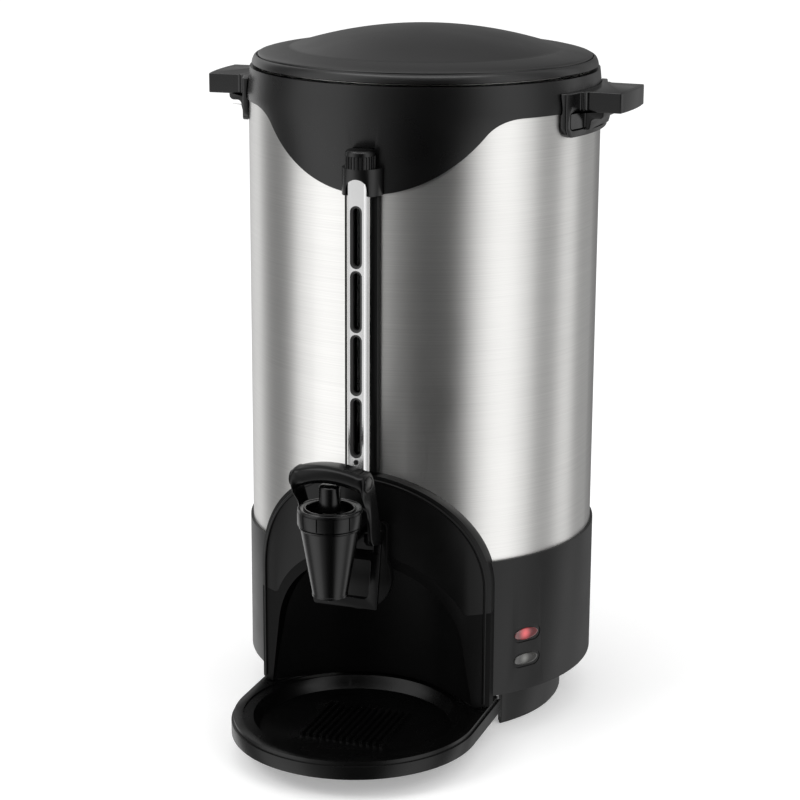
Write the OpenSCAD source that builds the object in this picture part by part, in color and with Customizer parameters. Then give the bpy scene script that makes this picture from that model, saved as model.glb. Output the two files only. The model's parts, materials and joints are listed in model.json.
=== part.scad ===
// Coffee urn: a double-walled steel body with a percolator inside, a lever tap over a
// cup niche, a slotted sight gauge, a pull-out drip tray and a lift-off lid.
// Millimetres. The origin is on the body's axis at table level, the front is -Y, up is +Z.

/* [Body] */
// Radius of the steel body
body_r = 125; // [118:1:150]
// Height of the bare steel between the base shell and the collar
steel_h = 308.8; // [257:0.1:372]
// Thickness of the steel sheet
steel_t = 0.8; // [0.5:0.1:1.2]
// Space between the steel body and the tank
tank_gap = 11; // [9:0.5:14]
// Height of the base shell's lower edge above the table
base_z = 33.2; // [32:0.2:40]
// Height of the base shell
base_h = 100.5; // [98:0.5:112]
// Step of the base shell out from the steel body
base_step = 2; // [1:0.5:4]
// Wall of the base shell
base_t = 3; // [2.4:0.2:3.6]
// Outer radius of the foot ring
foot_r = 105.5; // [100:0.5:110]

/* [Collar and lid] */
// Height of the collar
collar_h = 22.5; // [20:0.5:30]
// Depth of the collar's rounded front below its edge
swoop_drop = 49.8; // [40:0.2:60]
// Radius of the collar's rounded front
swoop_r = 94.6; // [80:0.2:110]
// How far the lid's rim stands inside the body's radius
lid_in = 2.3; // [1:0.1:5]
// Height of the lid's dome
dome_h = 15.3; // [10:0.1:25]
// Wall of the lid
lid_t = 2.5; // [2:0.1:3]

/* [Handles] */
// Width of a handle's grip along the body
grip_w = 54; // [50:1:66]
// Height of a handle's grip
grip_h = 14; // [10:0.5:18]
// Reach of a handle past the body
grip_reach = 30.5; // [26:0.5:42]
// How far each handle stands forward of the middle, in degrees
handle_turn = 3; // [0:0.5:6]
// Width of the shield behind a grip
shield_w = 92; // [90:1:104]
// Depth of the shield under a grip
shield_h = 16.5; // [15:0.5:24]

/* [Front panel and niche] */
// Radius of the arched panel
panel_r = 86; // [80:0.5:88]
// Distance of the panel's face out from the steel body
panel_step = 8.5; // [7:0.5:12]
// Height of the panel's lower edge above the table
panel_foot_z = 29.6; // [28.4:0.2:31]
// Radius of the niche's arch
niche_r = 69.3; // [55:0.1:72]
// Half the width of the niche at the panel's lower edge
niche_foot = 75.6; // [73:0.1:77]
// Width of the frame face round the niche's arch
frame_w = 6.9; // [5:0.1:9]
// Wall of the niche liner
liner_t = 2.5; // [2:0.1:3]
// Radius of the niche's curved back wall, seen from above
niche_wall_r = 73.3; // [65:0.1:80]

/* [Drip tray] */
// Outer radius of the drip tray
tray_r = 87; // [80:0.5:95]
// Height of the drip tray
tray_h = 12.2; // [11:0.1:12.4]
// Radius of the tray's well
well_r = 70; // [60:0.5:74]
// Number of ribs in the well
ribs = 13; // [7:2:15]
// Distance from one rib to the next
rib_pitch = 4.9; // [4:0.1:6]

/* [Tap] */
// Distance of the tap's axis out from the steel body
tap_reach = 65.5; // [63:0.5:75]
// Height of the tap's inlet above the base shell
shank_rise = 34.3; // [33:0.1:38]
// Radius of the tap's shank
shank_r = 9.5; // [7.5:0.1:9.8]
// Radius of the tap body at its top
cone_top_r = 20.2; // [19:0.1:21]
// Radius of the tap body at its outlet
cone_tip_r = 11.6; // [10:0.1:13]
// Radius of the tap's ring nut
ring_r = 21.9; // [21:0.1:22]
// Radius of the plunger's head
plunger_r = 7.2; // [6.5:0.1:7.4]
// Travel of the plunger
plunger_travel = 5.8; // [4:0.1:6]
// Half the width of the lever's bail
bail_half = 27; // [26.5:0.5:32]

/* [Sight gauge] */
// Width of the gauge's chrome cover
cover_w = 16; // [14:0.5:20]
// Radius of the gauge glass
glass_r = 4.5; // [3.5:0.1:5]
// Width of a slot in the cover
slot_w = 8.5; // [6:0.1:9]
// Number of slots
slots = 4; // [2:1:6]

/* [Percolator] */
// Radius of the coffee basket
basket_r = 58; // [40:1:70]
// Height of the coffee basket
basket_h = 50; // [30:1:60]
// Radius of the pump tube
tube_r = 6; // [5:0.1:8]

/* [Hidden] */
$fn = 240;

// Clearances: pieces fixed in one another, moving pieces beside fixed ones, running shafts.
fit_gap = 0.1;
move_gap = 0.3;
run_gap = 0.06;
// Far enough to pass right through the object
far = 400;
eps = 0.01;

// Heights, from the table up
steel_z = base_z + base_h;
collar_z = steel_z + steel_h;
collar_top = collar_z + collar_h;
steel_foot = steel_z - 5.7;
steel_top = collar_z + 4.5 - fit_gap;

// The panel's arch and the niche in it
panel_z = base_z + 81.4;
panel_face = body_r + panel_step;
niche_z = base_z + 35.2;
step_z = niche_z + 30.1;
step_fillet = 5;
niche_y = -(body_r + 16.6);
niche_top = niche_z + niche_r + liner_t;
mouth_half = niche_foot + 2.4;
mouth_y = -(body_r - 17);
liner_z = base_z + 1;

// The collar's section and the tank's seat in it
collar_r = body_r + 1;
collar_top_r = body_r - 1;
ledge_z = collar_top - 5;
tank_r = body_r - tank_gap;
tank_z = niche_top + 14.8;
tank_floor = tank_z + steel_t;
flange_r = body_r - 6;
opening_r = flange_r + 0.5;

// Lid
lid_r = body_r - lid_in;
lid_gap = 1;
lid_z = collar_top + lid_gap;
lid_edge = 4.4;
lid_shoulder = 1.6;
lid_rim_z = lid_z + 3.2;
dome_r = lid_r - 26.3;
dome_z = lid_rim_z + lid_edge + 4.4;
dome_sphere = (dome_r * dome_r + dome_h * dome_h) / (2 * dome_h);
plug_r = opening_r - 0.4;
plug_t = 3.6;

// Handles
grip_z = collar_z - 0.2;
grip_top = grip_z + grip_h;
grip_end_sag = 2;
grip_end_r = (pow(grip_w / 2, 2) + pow(grip_end_sag, 2)) / (2 * grip_end_sag);
grip_x = body_r + grip_reach;
grip_corner = 3;
shield_t = 4.4;
shield_corner = 8;
shield_rim = 5;
shield_recess = 0.8;
flare_r = 3;
ledge_reach = 15;
ledge_side = 5;
grip_wall = 3.5;
handle_screw_y = 10;
handle_screw_z = grip_z - 8.5;
handle_screw_in = 2.2;
screw_r = 1.9;
screw_head_r = 3.4;
screw_head_h = 2.5;

// Bottom plate, foot ring and tray
plate_t = 3;
plate_top = base_z + plate_t;
foot_t = 4.5;
foot_open = 52.6;
grip_strip_h = 4.6;
tray_y = niche_y;
tray_z = base_z - 17.6;
tray_top = tray_z + tray_h;
tray_floor = tray_z + 2.4;
tray_back_y = tray_y + 63.6;
tray_rear_r = 80.5;
well_foot_r = well_r - 2.8;
rib_w = 2.2;
rib_h = 2.5;
rib_len = 61;
tongue_half = 45;
tongue_z = tray_z + 4.4;
tongue_t = 4;
tongue_end = 20;
rail_half = 50;

// Tap
shank_z = steel_z + shank_rise;
tap_y = -(body_r + tap_reach);
cone_z = shank_z - 36.3;
cone_top = shank_z + 13;
seat_z = shank_z - 8;
seat_r = 5;
outlet_r = 8;
chamber_r = 12;
neck_r = shank_r + 1.5;
tap_plate_r = 24.4;
tap_plate_half = 21;
tap_plate_y = -(panel_face + 3.5);
flange_top = cone_top + 3;
ring_top = cone_top + 12.5;
head_z = flange_top + plunger_travel + 0.7;
head_top = cone_top + 27.7;
stem_r = 2.5;
seal_r = 6.6;
// The valve's spring: its turns, steps and sides of each turn's wire, and its radii
spring_turns = 6;
spring_steps = 14;
spring_sides = 8;
spring_r = 4.3;
spring_wire = 0.55;

// Lever
pivot_y = tap_y + 38.5;
pivot_z = shank_z - 5;
pin_r = 2;
lug_in = neck_r + 2.5;
lug_out = lug_in + 3.5;
hub_in = lug_out + move_gap;
hub_out = 23;
rail_w = 6.4;
hub_r = 5.5;
bail_y = tap_y + 2.5;
bail_h = 12.5;
bail_d = 19.5;
bail_z = head_top + 7.8;
bail_sag = 6;
bail_bend = (pow(bail_half, 2) + pow(bail_sag, 2)) / (2 * bail_sag);
arm_in = ring_r + 0.5;
frame_foot_z = pivot_z - 49;
frame_t = 4;

// Sight gauge
gauge_out = 7.6;
cover_out = 15.7;
gauge_y = -(body_r + gauge_out);
channel_y = -(body_r + 6);
cover_y = -(body_r + cover_out);
cover_t = 1;
cover_z = panel_z + panel_r + 0.4;
cover_top = collar_z - 37.5;
cover_back = gauge_y + glass_r;
channel_half = cover_w / 2 + 3.6;
channel_top = collar_z - swoop_drop - 0.3;
slot_z = cover_z + 12.3;
slot_end = cover_top - 17.5;
slot_bridge = 1.2;
slot_len = (slot_end - slot_z - (slots - 1) * slot_bridge) / slots;
gauge_screw_z = slot_z - 2.8;
holder_z = channel_top + 1.2;
holder_top = cover_top + 6.8;
holder_half = cover_w / 2 + 6;
holder_y = cover_y - 0.8;
cap_r = 10.2;
cap_top = holder_top + 12.4;
pocket_t = 1.5;
elbow_z = cover_z + 5;
elbow_r = min(cover_w / 2, cover_out - gauge_out) - cover_t - 0.2;
glass_z = elbow_z + 2.5;
glass_seal_z = gauge_screw_z + 1.9;
elbow_top = glass_seal_z + 2;
glass_top = holder_top - 3;
pipe_r = 4;

// Lamps
lamp_angle = 55.2;
lamp_zs = [base_z + 41.8, base_z + 22.8];
lamp_w = 15;
lamp_h = 8;
recess_w = 24.6;
recess_h = 11;
recess_d = 1.2;
lens_back = body_r - 6;

// Cord gland
gland_z = base_z + 27;
gland_r = 7.5;
gland_bore = 4;
gland_flange = 11;

// Percolator
basket_z = tank_floor + 218.9 + (steel_h - 308.8);
basket_t = 1;
tube_top = basket_z + basket_h + 15.3;
sleeve_r = tube_r + move_gap;

// Heater
heater_r = 55;
heater_t = 6;
heater_z = tank_z - heater_t;
element_r = 42;
element_tube = 4;

// ---------------------------------------------------------------- shared shapes

// A tube about the body's axis
module tube(r_out, r_in, z0, z1) {
    translate([0, 0, z0]) difference() {
        cylinder(h = z1 - z0, r = r_out);
        translate([0, 0, -1]) cylinder(h = z1 - z0 + 2, r = r_in);
    }
}

// An outline in X and Z, pushed along Y from y0 at the front to y1 at the back
module along_y(y0, y1) {
    translate([0, y1, 0]) rotate([90, 0, 0]) linear_extrude(y1 - y0) children();
}

// An outline in Y and Z, pushed along X from x0 to x1
module along_x(x0, x1) {
    translate([x0, 0, 0]) rotate([90, 0, 90]) linear_extrude(x1 - x0) children();
}

// Both sides: the piece as drawn and its mirror image
module both_sides() {
    children();
    mirror([1, 0, 0]) children();
}

// A rod along Y, from y0 at the front to y1 at the back
module rod_y(r, y0, y1, z) {
    translate([0, y1, z]) rotate([90, 0, 0]) cylinder(h = y1 - y0, r = r);
}

// A rod along X on the line (y, z)
module rod_x(r, x0, x1, y, z) {
    translate([x0, y, z]) rotate([0, 90, 0]) cylinder(h = x1 - x0, r = r);
}

// Points of an arc about a centre, from angle a0 to a1, ends included
function arc(centre, r, a0, a1, n = 48) = [
    for (i = [0:n]) let (a = a0 + (a1 - a0) * i / n) centre + r * [cos(a), sin(a)]
];

// An outline from its right half, listed from the top down: both halves as one loop
function mirrored(right) = concat(
    right, [for (i = [len(right) - 1:-1:0]) if (right[i].x > eps) [-right[i].x, right[i].y]]
);

// A stadium, long in the first direction
module stadium(w, h) {
    square([w - h, h], center = true);
    for (side = [-1, 1]) translate([side * (w - h) / 2, 0]) circle(h / 2);
}

// A rectangle with round corners
module round_rect(w, h, r) {
    square([w - 2 * r, h], center = true);
    square([w, h - 2 * r], center = true);
    for (x = [-1, 1], y = [-1, 1]) translate([x * (w / 2 - r), y * (h / 2 - r)]) circle(r);
}

// The part of a circle above a level line, with a fillet on each side where they meet
module dome_2d(r, centre, level, fillet) {
    rise = level + fillet - centre;
    fx = sqrt(pow(r + fillet, 2) - pow(rise, 2));
    tangent = atan2(rise, fx);
    polygon(mirrored(concat(
        arc([0, centre], r, 90, tangent),
        arc([fx, level + fillet], fillet, 180 + tangent, 270, 12)
    )));
}

// ---------------------------------------------------------------- niche and panel

// The panel's arched outline in X and Z
module panel_2d(inset, z0) {
    r = panel_r - inset;
    polygon(mirrored(concat(arc([0, panel_z], r, 90, 0), [[r, z0]])));
}

// The niche's arched opening in X and Z: its sides run tangent from the arch and flare
module niche_2d(grow, z0) {
    r = niche_r + grow;
    foot = niche_foot + grow;
    rise = niche_z - panel_foot_z;
    tangent = acos(r / norm([foot, rise])) - atan2(rise, foot);
    side = [r * cos(tangent), niche_z + r * sin(tangent)];
    flare = (foot - side.x) / (side.y - panel_foot_z);
    polygon(mirrored(concat(
        arc([0, niche_z], r, 90, tangent),
        [[foot + (panel_foot_z - z0) * flare, z0]]
    )));
}

// The niche seen from above: a round back wall whose sides open to the mouth
module niche_plan(grow) {
    r = niche_wall_r + grow;
    mouth = [mouth_half + grow, mouth_y - niche_y];
    tangent = atan2(mouth.y, mouth.x) + acos(r / norm(mouth));
    polygon(mirrored(concat(
        arc([0, niche_y], r, 90, tangent),
        [[mouth.x, mouth_y], [mouth.x, -far]]
    )));
}

// The hollow of the niche, from the height z0 up
module niche_void(grow, z0) {
    intersection() {
        along_y(-far, 0) niche_2d(grow, z0);
        translate([0, 0, z0]) linear_extrude(far) niche_plan(grow);
    }
}

// The region of the panel that belongs to the niche frame
module frame_2d(grow) {
    translate([-far / 2, 0]) square([far, step_z + grow]);
    dome_2d(niche_r + frame_w + grow, niche_z, step_z + grow, step_fillet - grow);
}

// The lower part of the front panel, with the liner of the cup niche behind it
module niche_frame() color([0.07, 0.07, 0.07]) {
    difference() {
        union() {
            intersection() {
                tube(panel_face, body_r + base_step + fit_gap, panel_foot_z, niche_top + far / 4);
                along_y(-far, 0) intersection() {
                    panel_2d(0, panel_foot_z);
                    frame_2d(0);
                }
            }
            intersection() {
                niche_void(liner_t, liner_z);
                cylinder(h = far, r = panel_face);
            }
            // foot flange on the bottom plate
            intersection() {
                translate([0, 0, plate_top]) linear_extrude(2) niche_plan(8);
                translate([-far / 2, mouth_y + 4, 0]) cube([far, far, far]);
            }
        }
        niche_void(0, 0);
    }
}

// The upper cover of the front panel: a hollow shield over the tap's inlet
module arch_cover() color([0.08, 0.08, 0.08]) {
    wall = 2.6;
    difference() {
        intersection() {
            union() {
                tube(panel_face, body_r + base_step + fit_gap, step_z, steel_z + fit_gap + eps);
                tube(panel_face, body_r + fit_gap, steel_z + fit_gap, far);
            }
            along_y(-far, 0) difference() {
                panel_2d(0, panel_foot_z);
                frame_2d(fit_gap);
            }
        }
        intersection() {
            cylinder(h = far, r = panel_face - wall);
            along_y(-far, 0) difference() {
                panel_2d(wall, panel_foot_z);
                frame_2d(fit_gap + wall);
                // solid land round the tap's inlet
                translate([0, shank_z]) circle(shank_r + 6);
            }
        }
        rod_y(shank_r + fit_gap, -far, 0, shank_z);
    }
}

// ---------------------------------------------------------------- body

// The steel body
module outer_shell() color([0.75, 0.75, 0.74]) {
    difference() {
        tube(body_r, body_r - steel_t, steel_foot, steel_top);
        niche_void(liner_t + fit_gap, 0);
        rod_y(shank_r + fit_gap, -far, 0, shank_z);
        rod_y(pipe_r + fit_gap, -far, 0, elbow_z);
        cap_pocket(pocket_t + fit_gap);
        at_handles() handle_screw_holes(screw_r + fit_gap);
    }
}

// The round pocket behind the gauge cap
module cap_pocket(grow) {
    translate([0, gauge_y, holder_top - grow]) {
        cylinder(h = cap_top - holder_top + fit_gap + 2 * grow, r = cap_r + fit_gap + grow);
    }
}

// The outside of the collar as a solid of revolution, grown by a clearance
module collar_outside(grow) {
    rotate_extrude() polygon([
        [0, collar_z], [collar_r + grow, collar_z], [collar_r + grow, steel_top + fit_gap],
        [collar_top_r + grow, collar_top], [0, collar_top],
    ]);
}

// The black collar: rim, tank ledge and the rounded front that hangs over the steel
module collar() color([0.09, 0.09, 0.09]) {
    inside = body_r + fit_gap;
    web = steel_top + fit_gap;
    difference() {
        union() {
            rotate_extrude() polygon([
                [inside, collar_z], [collar_r, collar_z], [collar_r, web],
                [collar_top_r, collar_top], [opening_r, collar_top], [opening_r, ledge_z],
                [tank_r + 1, ledge_z], [tank_r + 1, ledge_z - 2.5], [opening_r + 1, ledge_z - 2.5],
                [opening_r + 3, web], [inside, web],
            ]);
            intersection() {
                tube(collar_r, inside, 0, collar_z + eps);
                along_y(-far, 0) mirror([0, 1]) {
                    dome_2d(swoop_r, -(collar_z - swoop_drop + swoop_r), -collar_z - eps, 25);
                }
            }
            intersection() {
                cylinder(h = far * 2, r = collar_r);
                cap_pocket(pocket_t);
            }
        }
        cap_pocket(0);
    }
}

// The water tank: a deep drawn pot that hangs by its flange from the collar
module inner_tank() color([0.8, 0.8, 0.79]) {
    flange_z = ledge_z + steel_t;
    difference() {
        union() {
            translate([0, 0, tank_z]) cylinder(h = flange_z - tank_z, r = tank_r);
            translate([0, 0, ledge_z]) cylinder(h = steel_t, r = flange_r);
        }
        translate([0, 0, tank_floor]) cylinder(h = far, r = tank_r - steel_t);
        rod_y(shank_r + fit_gap, -far, 0, shank_z);
        rod_y(pipe_r + fit_gap, -far, 0, elbow_z);
    }
}

// The lamps' places: an outline in the tangent plane, cut inwards as far as depth
module at_lamps(y0, y1) {
    for (z = lamp_zs) rotate([0, 0, lamp_angle]) along_y(y0, y1) translate([0, z]) children();
}

// The black base shell under the steel
module base_shell() color([0.08, 0.08, 0.08]) {
    r = body_r + base_step;
    difference() {
        union() {
            tube(r, body_r + fit_gap, steel_foot - 1, steel_z);
            tube(r, r - base_t, base_z, steel_foot);
            // flange that the bottom plate is screwed to
            tube(r - base_t + eps, r - 14, plate_top, plate_top + 3);
        }
        niche_void(liner_t + fit_gap, 0);
        translate([0, 0, plate_top - 1]) linear_extrude(4.1) intersection() {
            niche_plan(8 + fit_gap);
            translate([-far / 2, -body_r - 1]) square([far, far]);
        }
        at_lamps(-far, 0) stadium(lamp_w + 2 * fit_gap, lamp_h + 2 * fit_gap);
        at_lamps(-far, -(r - recess_d)) stadium(recess_w, recess_h);
        translate([0, 0, gland_z]) rotate([-90, 0, 0]) cylinder(h = far, r = gland_r + fit_gap);
        base_screw_places() cylinder(h = far, r = screw_r + fit_gap, center = true);
    }
}

// Places of the screws that hold the bottom plate to the base shell
module base_screw_places() {
    for (a = [60:60:300]) rotate([0, 0, a]) translate([0, -(body_r - 7.5), 0]) children();
}

// Places of the screws that hold the foot ring and the tray's rails
module plate_screw_places() {
    for (a = [70, 135, 225, 290]) rotate([0, 0, a]) translate([0, -(foot_r - 8), 0]) children();
    for (x = [-1, 1], y = [-40, 10]) translate([x * (rail_half + 5), y, 0]) children();
}

// The steel plate that closes the base
module bottom_plate() color([0.6, 0.6, 0.6]) {
    difference() {
        translate([0, 0, base_z]) cylinder(h = plate_t, r = body_r + base_step - base_t - fit_gap);
        translate([0, 0, base_z - 1]) linear_extrude(plate_t + 2) niche_plan(liner_t + fit_gap);
        base_screw_places() cylinder(h = far, r = screw_r + fit_gap, center = true);
        plate_screw_places() cylinder(h = far, r = screw_r + fit_gap, center = true);
    }
}

// The open front of the foot ring, as a wedge seen from above
module foot_wedge() {
    polygon([[0, 0], [far * sin(foot_open), -far * cos(foot_open)], [0, -far * 2],
             [-far * sin(foot_open), -far * cos(foot_open)]]);
}

// The black ring that the urn stands on, open at the front for the tray
module foot_ring() color([0.08, 0.08, 0.08]) {
    difference() {
        union() {
            tube(foot_r, foot_r - foot_t, 1.5, base_z);
            tube(foot_r - foot_t + eps, foot_r - 13, base_z - 3, base_z);
        }
        tube(foot_r - 1.1, foot_r - 3.4, 0, grip_strip_h);
        translate([0, 0, -1]) linear_extrude(far) foot_wedge();
        plate_screw_places() cylinder(h = far, r = screw_r + fit_gap, center = true);
    }
}

// The rubber strip in the foot ring's groove
module foot_grip() color([0.05, 0.05, 0.05]) {
    difference() {
        tube(foot_r - 1.1 - fit_gap, foot_r - 3.4 + fit_gap, 0, grip_strip_h);
        translate([0, 0, -1]) linear_extrude(far) foot_wedge();
    }
}

// A machine screw with its head down, the head's upper face at z = 0
module screw_up(length) {
    translate([0, 0, -screw_head_h]) cylinder(h = screw_head_h, r = screw_head_r);
    translate([0, 0, -eps]) cylinder(h = length, r = screw_r);
}

module base_screws() color([0.7, 0.7, 0.7]) {
    base_screw_places() translate([0, 0, base_z]) screw_up(plate_t + 2.8);
}

module plate_screws() color([0.7, 0.7, 0.7]) {
    plate_screw_places() translate([0, 0, base_z - 3]) screw_up(plate_t + 2.8);
}

// ---------------------------------------------------------------- handles

// What belongs to a handle, at both handles
module at_handles() {
    both_sides() rotate([0, 0, -handle_turn]) children();
}

// The holes of one handle's two screws
module handle_screw_holes(r) {
    tip = body_r + handle_screw_in + move_gap;
    for (y = [-1, 1]) rod_x(r, 0, tip, y * handle_screw_y, handle_screw_z);
}

// Plan of the grip: straight sides and a convex end
module grip_plan(inset) {
    half = grip_w / 2 - inset;
    corner = max(grip_corner - inset, 0.5);
    length = grip_reach + 12;
    intersection() {
        translate([grip_x - grip_end_r, 0]) circle(grip_end_r - inset, $fn = 180);
        translate([grip_x - inset - length / 2, 0]) round_rect(length, 2 * half, corner);
    }
}

// Plan of the flare between the grip's sides and the shield
module flare_plan() {
    half = grip_w / 2;
    foot_x = body_r + shield_t - 1;
    difference() {
        translate([body_r - 12, -half - flare_r]) {
            square([foot_x + flare_r - body_r + 12, 2 * (half + flare_r)]);
        }
        for (side = [-1, 1]) translate([foot_x + flare_r, side * (half + flare_r)]) circle(flare_r);
    }
}

// Outline of the shield: square at the top, round corners at the bottom
module shield_2d(inset, top) {
    half = shield_w / 2 - inset;
    corner = shield_corner - inset;
    low = grip_z - shield_h + inset;
    polygon(mirrored(concat([[half, top]], arc([half - corner, low + corner], corner, 0, -90, 16))));
}

// One handle: a hollow grip block on a shield that hugs the steel and the collar
module handle() {
    out = body_r + shield_t;
    difference() {
        rotate([0, 0, -handle_turn]) {
            translate([0, 0, grip_z]) linear_extrude(grip_h) {
                grip_plan(0);
                flare_plan();
            }
            intersection() {
                difference() {
                    tube(out, body_r - 3, grip_z - shield_h, grip_top);
                    along_x(0, far) shield_2d(shield_rim, grip_z);
                }
                along_x(0, far) shield_2d(0, grip_top);
            }
            intersection() {
                tube(out - shield_recess, body_r - 3, grip_z - shield_h, grip_top);
                along_x(0, far) shield_2d(1, grip_top);
            }
            // ledge under the grip, with a curved bracket down to the shield
            translate([0, grip_w / 2 - ledge_side, 0]) along_y(ledge_side * 2 - grip_w, 0) {
                polygon(concat(
                    [[body_r - 8, grip_z - 13], [out + 0.6, grip_z - 13], [out + 1.6, grip_z - 9]],
                    arc([out + 4.6, grip_z - 8.2], 3, 180, 90, 8),
                    arc([body_r + ledge_reach - 3.2, grip_z - 2], 3.2, -90, 0, 8),
                    [[body_r + ledge_reach, grip_z + 1], [body_r - 8, grip_z + 1]]
                ));
            }
        }
        collar_outside(fit_gap);
        translate([0, 0, collar_z + eps - far]) cylinder(h = far, r = body_r + fit_gap);
        rotate([0, 0, -handle_turn]) {
            // finger hollow under the grip
            translate([0, 0, grip_z - 1]) linear_extrude(grip_h + 1 - grip_wall) intersection() {
                grip_plan(grip_wall);
                translate([body_r + ledge_reach + 2, -far / 2]) square([far, far]);
            }
            handle_screw_holes(screw_r + fit_gap);
        }
    }
}

module handle_right() color([0.07, 0.07, 0.07]) handle();

module handle_left() color([0.07, 0.07, 0.07]) mirror([1, 0, 0]) handle();

// Steel plates inside the body that spread the load of the handles' screws
module handle_plates() color([0.7, 0.7, 0.7]) {
    at_handles() difference() {
        intersection() {
            tube(body_r - steel_t - fit_gap, body_r - 3.3, handle_screw_z - 6, handle_screw_z + 6);
            translate([0, -18, 0]) cube([far, 36, far * 2]);
        }
        handle_screw_holes(screw_r + fit_gap);
    }
}

module handle_screws() color([0.7, 0.7, 0.7]) {
    head_x = body_r - 4.3;
    at_handles() for (y = [-1, 1]) {
        rod_x(screw_head_r, head_x - screw_head_h, head_x, y * handle_screw_y, handle_screw_z);
        rod_x(screw_r, head_x - eps, body_r + handle_screw_in, y * handle_screw_y, handle_screw_z);
    }
}

// ---------------------------------------------------------------- lid

// Half section of the lid's outside, drawn inwards by an inset: a leaning side band, a rounded
// shoulder, a sloped ring and the dome
module lid_section(inset) {
    r = lid_r - inset;
    crown = lid_rim_z + lid_edge - inset;
    intersection() {
        translate([0, lid_z]) square([far, far]);
        union() {
            polygon(concat(
                [[0, lid_z], [r, lid_z], [r - 0.6, lid_z + 1.4], [r - 1.7, lid_z + 4.4]],
                arc([r - lid_edge, crown - lid_shoulder], lid_shoulder, 15, 75, 8),
                [[dome_r, dome_z - inset], [0, dome_z - inset]]
            ));
            intersection() {
                translate([0, dome_z + dome_h - dome_sphere]) circle(dome_sphere - inset, $fn = 360);
                translate([0, dome_z - inset]) square([dome_r, far]);
            }
        }
    }
}

module lid_shell() color([0.06, 0.06, 0.06]) {
    rotate_extrude() difference() {
        lid_section(0);
        difference() {
            translate([0, -eps]) lid_section(lid_t);
            // wall of the plug ring, which runs up to the shell
            translate([plug_r - plug_t, lid_z - 1]) square([plug_t, far]);
        }
    }
    tube(plug_r, plug_r - plug_t, collar_top - 1, lid_z + 1);
}

// The steel disc that closes the lid's underside
module lid_liner() color([0.78, 0.78, 0.77]) {
    translate([0, 0, collar_top]) cylinder(h = steel_t, r = plug_r - plug_t - fit_gap);
}

// The silicone ring between the lid and the tank's flange
module lid_seal() color([0.85, 0.85, 0.82]) {
    tube(plug_r - 0.5, plug_r - plug_t + 0.5, ledge_z + steel_t, collar_top - 1);
}

// ---------------------------------------------------------------- drip tray

// Plan of the tray: round front, straight sides, and a round rear inside the foot ring
module tray_plan(inset) {
    translate([0, tray_y]) circle(tray_r - inset);
    translate([-(tray_r - inset), tray_y]) {
        square([2 * (tray_r - inset), tray_back_y - tray_y - inset]);
    }
    translate([0, tray_y]) circle(tray_rear_r - inset / 2);
}

module drip_tray() color([0.06, 0.06, 0.06]) {
    rim_in = tray_r - 8;
    wall = 2.4;
    difference() {
        union() {
            translate([0, 0, tray_z]) linear_extrude(tray_h - 3) tray_plan(0);
            translate([0, 0, tray_top - 3 - eps]) linear_extrude(3 + eps) tray_plan(1.5);
            translate([-tongue_half, tray_back_y - 4, tongue_z]) {
                cube([2 * tongue_half, tongue_end - tray_back_y + 4, tongue_t]);
            }
        }
        translate([0, tray_y, tray_top - 1]) cylinder(h = 2, r = rim_in);
        translate([0, tray_y, tray_floor]) {
            cylinder(h = tray_h, r1 = well_foot_r, r2 = well_foot_r + tray_h * 0.5);
        }
        // the underside is hollow outside the well
        translate([0, 0, tray_z - 1]) linear_extrude(tray_h - 5) difference() {
            tray_plan(wall);
            translate([0, tray_y]) circle(well_r + 5);
            translate([-far / 2, tray_back_y - 6]) square([far, far]);
        }
    }
    for (i = [0:ribs - 1]) {
        x = (i - (ribs - 1) / 2) * rib_pitch;
        translate([x, tray_y, tray_floor - eps]) linear_extrude(rib_h) {
            rotate(90) stadium(rib_len, rib_w);
        }
    }
}

// The channels under the bottom plate that the tray's tongue slides in
module tray_rails() color([0.6, 0.6, 0.6]) {
    inner = tongue_half - 7;
    both_sides() translate([0, -58, 0]) difference() {
        union() {
            translate([inner, 0, tongue_z - 3]) cube([rail_half - inner, 83, 3]);
            translate([tongue_half + move_gap, 0, tongue_z - 3]) {
                cube([rail_half - tongue_half - move_gap, 83, base_z - tongue_z + 3]);
            }
            translate([inner, 0, tongue_z + tongue_t + move_gap]) {
                cube([rail_half - inner, 83, base_z - tongue_z - tongue_t - move_gap]);
            }
            translate([rail_half - 1, 0, base_z - 3]) cube([11, 83, 3]);
        }
        translate([0, 58, 0]) plate_screw_places() {
            cylinder(h = far, r = screw_r + fit_gap, center = true);
        }
    }
}

// ---------------------------------------------------------------- sight gauge

// Outline of the gauge's cover in X and Z, with its round top
module cover_2d(inset) {
    r = cover_w / 2 - inset;
    polygon(mirrored(concat(
        arc([0, cover_top - cover_w / 2], r, 90, 0, 24), [[r, cover_z - inset]]
    )));
}

module gauge_cover() color([0.9, 0.9, 0.9]) {
    difference() {
        along_y(cover_y, cover_back) intersection() {
            cover_2d(0);
            translate([-far / 2, cover_z]) square([far, far]);
        }
        along_y(cover_y + cover_t, 0) cover_2d(cover_t);
        for (i = [0:slots - 1]) along_y(-far, 0) {
            translate([0, slot_z + slot_len / 2 + i * (slot_len + slot_bridge)]) {
                rotate(90) stadium(slot_len, slot_w);
            }
        }
        translate([0, gauge_y, 0]) cylinder(h = far * 2, r = glass_r + move_gap);
        rod_y(1.2, -far, 0, gauge_screw_z);
    }
}

// The black trough behind the cover, on the steel body
module gauge_channel() color([0.06, 0.06, 0.06]) {
    difference() {
        translate([-channel_half, channel_y, cover_z]) {
            cube([2 * channel_half, 10, channel_top - cover_z]);
        }
        cylinder(h = far * 2, r = body_r + fit_gap);
        translate([-cover_w / 2 - fit_gap, -far, 0]) {
            cube([cover_w + 2 * fit_gap, far + cover_back + fit_gap, far * 2]);
        }
        translate([0, gauge_y, 0]) cylinder(h = elbow_top + fit_gap, r = elbow_r + fit_gap);
        rod_y(pipe_r + fit_gap, -far, 0, elbow_z);
    }
}

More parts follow.
